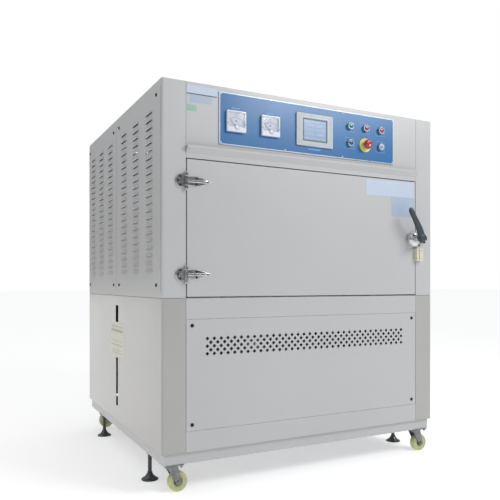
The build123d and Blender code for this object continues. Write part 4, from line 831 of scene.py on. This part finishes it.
def knuckle(shape, x, y, low, high, radius, ends):
    """Part of a hinge barrel, with a groove at each end and a cap where it is an outer one."""
    profile = [(radius - 0.6, low), (radius, low + 0.6), (radius, high - 0.6), (radius - 0.6, high)]
    if ends:
        tip = [(radius - 1.4, high), (radius - 1.2, high + 1.6), (radius - 2.4, high + 3.0),
               (0.5, high + 3.6)]
        profile = profile + tip if ends > 0 else profile
        if ends < 0:
            mirrored_tip = [(0.5, low - 3.6), (radius - 2.4, low - 3.0), (radius - 1.2, low - 1.6),
                            (radius - 1.4, low)]
            profile = mirrored_tip + profile
    shape.turned(place("top", x, y, 0.0), profile, 32)


LEAF_UPPER = [(0.0, 24.5), (-26.0, 24.5), (-33.0, 20.0), (-39.0, 12.0), (-41.0, 6.0)]
LEAF = [(0.0, -24.5)] + LEAF_UPPER + [(u, -v) for u, v in LEAF_UPPER[:0:-1]]
LEAF_FACE = 4.6
STRAP_FACE = 4.0
KNUCKLE_START = 17.5
KNUCKLE_END = 31.4
KNUCKLE_MIDDLE = 17.2
leaves, straps, hinge_screws, strap_screws = Shape(), Shape(), Shape(), Shape()
for z in HINGE_Z:
    leaves.plate(on_post(HINGE_X, z), LEAF, 0.0, 5.0, 1.4)
    for u, v in LEAF_SCREWS:
        hinge_screws.screw(on_post(HINGE_X + u, z + v, LEAF_FACE, 15.0 + u), 4.3, 1.9)
    knuckle(leaves, HINGE_X, HINGE_Y, z + KNUCKLE_START, z + KNUCKLE_END, BARREL, 1)
    knuckle(leaves, HINGE_X, HINGE_Y, z - KNUCKLE_END, z - KNUCKLE_START, BARREL, -1)
    knuckle(straps, HINGE_X, HINGE_Y, z - KNUCKLE_MIDDLE, z + KNUCKLE_MIDDLE, BARREL, 0)
    sections = []
    for i, (u, half) in enumerate(STRAP):
        rib = min(1.0, half / 9.0)
        side = half - min(1.5, half * 0.3)
        core = min(2.6, half * 0.4)
        slope = min(4.2, half * 0.6)
        crest = 4.3 + 1.7 * rib
        half_section = [(half, 0.0), (half, 3.0), (side, 4.2), (slope, 4.3), (core, crest)]
        sections.append([(u, -v, w) for v, w in half_section] + [(u, v, w) for v, w in half_section[::-1]])
    straps.skin(on_door(HINGE_X, z), sections)
    for u, v in STRAP_SCREWS:
        spot = place("front", HINGE_X + u, DOOR_Y - STRAP_FACE, z + v, 40.0 + v)
        strap_screws.screw(spot, 4.2, 1.9)
leaves.finish("hinge_leaf_castings", "cabinet", "chrome", ("hinge_leaves",), bevel=0.5)
straps.finish("hinge_strap_castings", "door", "chrome", ("hinge_straps",), bevel=0.5)
hinge_screws.finish("hinge_leaf_screws", "cabinet", "black_steel")
strap_screws.finish("hinge_strap_screws", "door", "black_steel")

# Latch: chromed housing, slate lever and the keeper on the post

HOUSING_X = extent("latch_body")[1].x
HOUSING_Z = extent("latch_body")[1].z
LATCH_X = HOUSING_X + 4.5
LATCH_Z = HOUSING_Z + 4.5
housing = Shape()
bulge = [(1.0, 0.0), (1.0, 3.5), (0.97, 5.0), (0.95, 9.0), (0.97, 10.5), (0.95, 13.0), (0.9, 18.0),
         (0.82, 24.0), (0.7, 28.6), (0.54, 31.2), (0.3, 32.0)]
rings = [[(u, v, level) for u, v in circle((32.5 * share, 38.5 * share), 56)] for share, level in bulge]
housing.skin(on_door(HOUSING_X, HOUSING_Z), rings)
NECK = [(19.0, 20.0), (19.0, 31.0), (17.6, 32.0), (17.6, 33.4), (19.0, 34.4), (19.0, 37.4), (18.4, 38.0)]
housing.turned(on_door(LATCH_X, LATCH_Z), NECK, 48)
housing.plate(on_door(LATCH_X - 21.0, LATCH_Z + 3.5), rounded(29.0, 7.5, 3.0), 14.0, 33.0, 1.4)
housing.plate(on_door(LATCH_X - 19.0, LATCH_Z + 21.0), rounded(18.0, 4.0, 1.8), 10.0, 24.0, 1.0)
housing.plate(on_door(LATCH_X + 16.0, LATCH_Z - 30.0), rounded(17.0, 19.0, 5.0), 6.0, 22.0, 1.6)
housing.finish("latch_housing", "door", "chrome", ("latch_body",), bevel=0.5)

LEVER_FOOT = 47.5
LEVER_LENGTH = 146.0
LEVER_TILT = math.radians(28.0)
lever = Shape()
spot = on_door(LATCH_X, LATCH_Z)
lever.turned(spot, [(15.0, LEVER_FOOT), (18.0, LEVER_FOOT + 1.2), (19.0, LEVER_FOOT + 4.0),
                    (19.0, LEVER_FOOT + 18.0), (17.4, LEVER_FOOT + 22.6), (13.6, LEVER_FOOT + 25.2),
                    (8.0, LEVER_FOOT + 26.0), (0.5, LEVER_FOOT + 26.0)], 48)
arm = []
for i in range(17):
    share = i / 16
    along = LEVER_LENGTH * share
    swing = 7.0 * math.sin(math.pi * min(1.0, share * 1.15)) * (1.0 - 0.75 * share)
    half = 17.6 - 5.8 * min(1.0, share * 1.5) - (0.2 * share)
    thick = 11.4 - 3.0 * share
    if share > 0.9:
        close = math.sqrt(max(0.02, 1.0 - ((share - 0.9) / 0.12) ** 2))
        half, thick = half * close, thick * close
    centre_u = -math.sin(LEVER_TILT) * along + math.cos(LEVER_TILT) * swing
    centre_v = math.cos(LEVER_TILT) * along + math.sin(LEVER_TILT) * swing
    ring = []
    for a, b in circle(1.0, 28):
        wide = half * math.copysign(abs(a) ** 0.8, a)
        deep = thick * math.copysign(abs(b) ** 0.8, b)
        ring.append((centre_u + wide * math.cos(LEVER_TILT), centre_v + wide * math.sin(LEVER_TILT),
                     LEVER_FOOT + 12.5 + 2.0 * share + deep))
    arm.append(ring)
lever.skin(spot, arm)
lever.finish("latch_lever_grip", "latch", "lever_plastic", ("latch_lever",))

cam = Shape()
cam.turned(spot, [(16.8, 38.5), (18.0, 39.6), (18.0, 46.2), (16.8, 47.4)], 48)
cam.plate(spot @ Matrix.Translation((22.0, 0, 0)), rounded(27.5, 17.0, 4.0), 38.6, 47.2, 1.2)
cam.turned(spot, [(6.0, 8.0), (6.0, 39.0)], 24)
cam.finish("latch_cam", "latch", "chrome", bevel=0.4)

KEEPER_X = extent("latch_keeper")[1].x
keeper = Shape()
keeper.plate(on_post(KEEPER_X, LATCH_Z), rounded(35.5, 39.5, 3.0), 0.0, 4.0, 0.8)
keeper.plate(on_post(KEEPER_X - 6.0, LATCH_Z), rounded(20.0, 21.5, 4.0), 3.0, 30.0, 2.2)
keeper.finish("latch_keeper_casting", "cabinet", "chrome", ("latch_keeper",), bevel=0.4)
keeper_screws = Shape()
for sign in (-1, 1):
    keeper_screws.screw(on_post(KEEPER_X + 11.5, LATCH_Z + sign * 13.5, 3.8, 30.0), 4.0, 1.8)
keeper_screws.finish("latch_keeper_screws", "cabinet", "black_steel")

DOOR_SWITCH_FACE = 19.8
DOOR_SWITCH_REACH = 18.0
switch_middle, magnet_middle = extent("door_switch")[1], extent("switch_magnet")[1]
switch_screws, magnet_screws = Shape(), Shape()
for z in (switch_middle.z - DOOR_SWITCH_REACH, switch_middle.z + DOOR_SWITCH_REACH):
    switch_screws.screw(on_post(switch_middle.x, z, DOOR_SWITCH_FACE, 20.0), 3.2, 1.2)
    magnet_screws.screw(on_post(magnet_middle.x, z, DOOR_SWITCH_FACE, 65.0), 2.8, 1.2)
switch_screws.finish("door_switch_screws", "cabinet", "bezel_metal", look=silver)
magnet_screws.finish("switch_magnet_screws", "door", "bezel_metal", look=silver)

# Castors and levelling feet

TRAIL = 25.0
WHEEL_R = 37.5
core_look = surface("castor_core_grey_nylon", (112, 114, 96), (96, 98, 82), (0.4, 0.55), cloud=60.0,
                    grain=900.0, depth=0.04, edge=0.8)
HUB_BORE = 4.1
HUB_HALF = 16.0
TYRE_HALF = [(16.5, -11.0), (17.5, -12.2), (29.0, -13.2), (31.0, -14.6), (33.0, -15.0), (35.4, -14.0),
             (36.9, -11.4), (37.4, -8.0)]
CORE_HALF = [(HUB_BORE, -HUB_HALF), (9.6, -HUB_HALF), (10.4, -15.4), (10.8, -12.0), (15.6, -11.4),
             (17.4, -12.0)]
BELL = [(34.0, 0.0), (34.0, 2.4), (33.2, 3.6), (30.0, 5.4), (25.0, 8.2), (20.0, 12.2), (15.6, 17.4),
        (12.4, 22.6), (10.6, 26.0), (10.2, 29.0), (9.6, 30.6), (8.2, 31.0)]
BOLT_X = 28.0
BOLT_Y = 37.0
PLATE_UNDERSIDE = 106.4
THREAD_PITCH = 2.5
THREAD_FOOT = 32.0
THREAD_TOP = 174.0
THREAD_ROOT = 7.25
THREAD_CREST = 8.0


def mirrored(half, middle=()):
    """Profile with its second half the mirror of its first."""
    return half + list(middle) + [(radius, -height) for radius, height in half[::-1]]


def castor_bolts(x, y):
    """Washers, hexagon heads and bolt ends under a castor's top plate."""
    bolts = Shape()
    for i in (-1, 1):
        for j in (-1, 1):
            under = place("under", x + i * BOLT_X, y + j * BOLT_Y, PLATE_UNDERSIDE)
            bolts.turned(under, [(8.2, 0.0), (8.2, 1.2), (7.6, 1.5)], 24)
            bolts.plate(under, circle(6.6, 6), 1.4, 5.6, 0.7)
            bolts.turned(under, [(3.6, 5.4), (3.6, 8.6), (3.0, 9.2)], 16)
    return bolts


def threaded_rod():
    """Profile of the levelling foot's screw, tooth by tooth."""
    profile = [(7.2, 30.0)]
    height = THREAD_FOOT
    while height < THREAD_TOP - THREAD_PITCH:
        profile += [(THREAD_ROOT, height), (THREAD_CREST, height + THREAD_PITCH * 0.4),
                    (THREAD_CREST, height + THREAD_PITCH * 0.6), (THREAD_ROOT, height + THREAD_PITCH)]
        height += THREAD_PITCH
    return profile + [(7.0, THREAD_TOP - 0.6), (6.0, THREAD_TOP + 0.6)]


for corner in ("front_left", "front_right", "rear_left", "rear_right"):
    wheel = f"caster_wheel_{corner}"
    hub = extent(wheel)[1]
    wheel_spot = place("front", hub.x, hub.y, WHEEL_R)
    tyre, core = Shape(), Shape()
    tyre.turned(wheel_spot, mirrored(TYRE_HALF, [(WHEEL_R, 0.0)]), 72, (False, False))
    core.turned(wheel_spot, mirrored(CORE_HALF), 48, (False, False))
    core.turned(wheel_spot, mirrored([(HUB_BORE, -HUB_HALF)]), 24, (False, False))
    tyre.finish(f"castor_tyre_{corner}", wheel, "castor_polyurethane", (wheel,))
    core.finish(f"castor_core_{corner}", wheel, "castor_polyurethane", look=core_look, angle=25.0)
    castor_bolts(hub.x - TRAIL, hub.y).finish(f"castor_bolts_{corner}", "cabinet", "zinc")
    foot_body = f"levelling_foot_{corner}"
    axis = extent(foot_body)[1]
    foot_spot = place("top", axis.x, axis.y, 0.0)
    foot = Shape()
    foot.turned(foot_spot, BELL, 56)
    foot.turned(foot_spot, threaded_rod(), 28)
    foot.finish(f"levelling_foot_bell_{corner}", foot_body, "dark_steel", (foot_body,), angle=28.0)

# Inside the chamber

coats = ((200, 60, 52), (44, 92, 160), (232, 228, 214), (60, 128, 84), (228, 186, 60), (70, 72, 78),
         (168, 110, 66), (150, 160, 170), (214, 120, 56), (120, 70, 110))
coat_looks = [surface(f"specimen_coat_{i}", linear(*rgb), darker(linear(*rgb), 0.82), (0.2, 0.36),
                      cloud=18.0, grain=700.0, depth=0.03, coat=0.4) for i, rgb in enumerate(coats)]
rack_middle, rack_high = extent("specimen_rack")[1:]
SPECIMEN_PITCH = 95.0
SPECIMEN_ROW = 85.0
COAT_WIDTH = 68.0
COAT_LENGTH = 132.0
for column, coat_look in enumerate(coat_looks):
    coat = Shape()
    for row in (-1, 1):
        x = (column - (len(coat_looks) - 1) / 2) * SPECIMEN_PITCH
        middle = place("top", x, rack_middle.y + row * SPECIMEN_ROW, rack_high.z)
        coat.plate(middle, rounded(COAT_WIDTH, COAT_LENGTH, 2.0), 0.0, 0.35, 0.15)
    coat.finish(f"specimen_coats_{column}", "cabinet", "stainless", look=coat_look)

water = Look("tray_water", specular=0.6)
water.colour(water.mix(water.noise(6.0), linear(196, 216, 222), linear(180, 206, 216)))
water.rough(0.03)
water.bump(water.noise(30.0, 2.0), 0.6)
water.shader.inputs["Alpha"].default_value = 0.35
tray_low, tray_middle, tray_high = extent("water_tray")
POOL_WIDTH = 890.0
POOL_MARGIN = 8.0
WATER_LEVEL = 36.0
pool = Shape()
pool_spot = place("top", 0.0, tray_middle.y, tray_low.z)
pool_length = tray_high.y - tray_low.y - POOL_MARGIN
pool.plate(pool_spot, rounded(POOL_WIDTH, pool_length, 4.0), WATER_LEVEL - 2.0, WATER_LEVEL, 0.6)
pool.finish("tray_water_surface", "cabinet", "lamp_glass", look=water.material)


# Stage, light and camera


# Each is the range of the direction, then the range of the light's strength
LIGHT_BY_HEIGHT = (0.0, 0.75, 0.1, 0.72)
LIGHT_BY_DEPTH = (-0.2, 0.7, 1.0, 1.3)
FLOOR_REACH = 60.0


def pale_floor():
    """Wide plain floor under the castors."""
    look = Look("studio_floor", specular=0.2)
    look.colour(look.mix(look.noise(1.5), linear(246, 246, 246), linear(243, 243, 243)))
    look.rough(0.7)
    look.shader.inputs["Emission Color"].default_value = WHITE
    look.shader.inputs["Emission Strength"].default_value = 0.36
    mesh = bpy.data.meshes.new("studio_floor")
    corners = [(x * FLOOR_REACH, y * FLOOR_REACH, 0) for x, y in ((-1, -1), (1, -1), (1, 1), (-1, 1))]
    mesh.from_pydata(corners, [], [(0, 1, 2, 3)])
    mesh.materials.append(look.material)
    floor = bpy.data.objects.new("studio_floor", mesh)
    bpy.context.scene.collection.objects.link(floor)


def soft_world():
    """White backdrop, with a surround that is dim at eye level and bright overhead."""
    world = bpy.data.worlds.new("soft_studio")
    bpy.context.scene.world = world
    world.use_nodes = True
    nodes, links = world.node_tree.nodes, world.node_tree.links
    light = nodes["Background"]
    backdrop = nodes.new("ShaderNodeBackground")
    backdrop.inputs["Color"].default_value = WHITE
    backdrop.inputs["Strength"].default_value = 1.0
    direction = nodes.new("ShaderNodeTexCoord")
    split = nodes.new("ShaderNodeSeparateXYZ")
    links.new(direction.outputs["Generated"], split.inputs["Vector"])
    height = nodes.new("ShaderNodeMapRange")
    height.interpolation_type = "SMOOTHSTEP"
    links.new(split.outputs["Z"], height.inputs["Value"])
    behind = nodes.new("ShaderNodeMapRange")
    links.new(split.outputs["Y"], behind.inputs["Value"])
    for node, numbers in ((height, LIGHT_BY_HEIGHT), (behind, LIGHT_BY_DEPTH)):
        for name, number in zip(("From Min", "From Max", "To Min", "To Max"), numbers):
            node.inputs[name].default_value = number
    strength = nodes.new("ShaderNodeMath")
    strength.operation = "MULTIPLY"
    links.new(height.outputs["Result"], strength.inputs[0])
    links.new(behind.outputs["Result"], strength.inputs[1])
    links.new(strength.outputs["Value"], light.inputs["Strength"])
    light.inputs["Color"].default_value = (0.98, 0.99, 1.0, 1.0)
    choose = nodes.new("ShaderNodeMixShader")
    seen = nodes.new("ShaderNodeLightPath")
    links.new(seen.outputs["Is Camera Ray"], choose.inputs["Fac"])
    links.new(light.outputs["Background"], choose.inputs[1])
    links.new(backdrop.outputs["Background"], choose.inputs[2])
    links.new(choose.outputs["Shader"], nodes["World Output"].inputs["Surface"])


def soft_box(name, position, target, size, power, colour=(1.0, 1.0, 1.0)):
    """Area light in metres, turned towards a target."""
    light = bpy.data.lights.new(name, "AREA")
    light.shape = "RECTANGLE"
    light.size, light.size_y = size
    light.energy = power
    light.color = colour
    lamp = bpy.data.objects.new(name, light)
    lamp.location = position
    lamp.rotation_euler = (Vector(target) - Vector(position)).to_track_quat("-Z", "Y").to_euler()
    lamp.visible_camera = False
    bpy.context.scene.collection.objects.link(lamp)


pale_floor()
soft_world()
soft_box("key_light", (1.8, -3.0, 2.9), (0.1, -0.6, 1.2), (1.8, 1.2), 62.0)
soft_box("left_fill", (-2.9, 0.3, 0.6), (-0.65, 0.1, 0.4), (1.8, 0.9), 6.0, (1.0, 0.9, 0.78))

CAMERA_PLACE = (-1.3403, -2.62165, 0.7796)
CAMERA_TURN = -27.257
camera_data = bpy.data.cameras.new("photo_camera")
camera_data.lens = 42.37
camera_data.sensor_width = 36.0
camera_data.shift_y = 0.0663
camera = bpy.data.objects.new("photo_camera", camera_data)
camera.location = CAMERA_PLACE
camera.rotation_euler = (math.radians(90.0), 0.0, math.radians(CAMERA_TURN))
bpy.context.scene.collection.objects.link(camera)
bpy.context.scene.camera = camera
bpy.context.scene.view_settings.view_transform = "Standard"
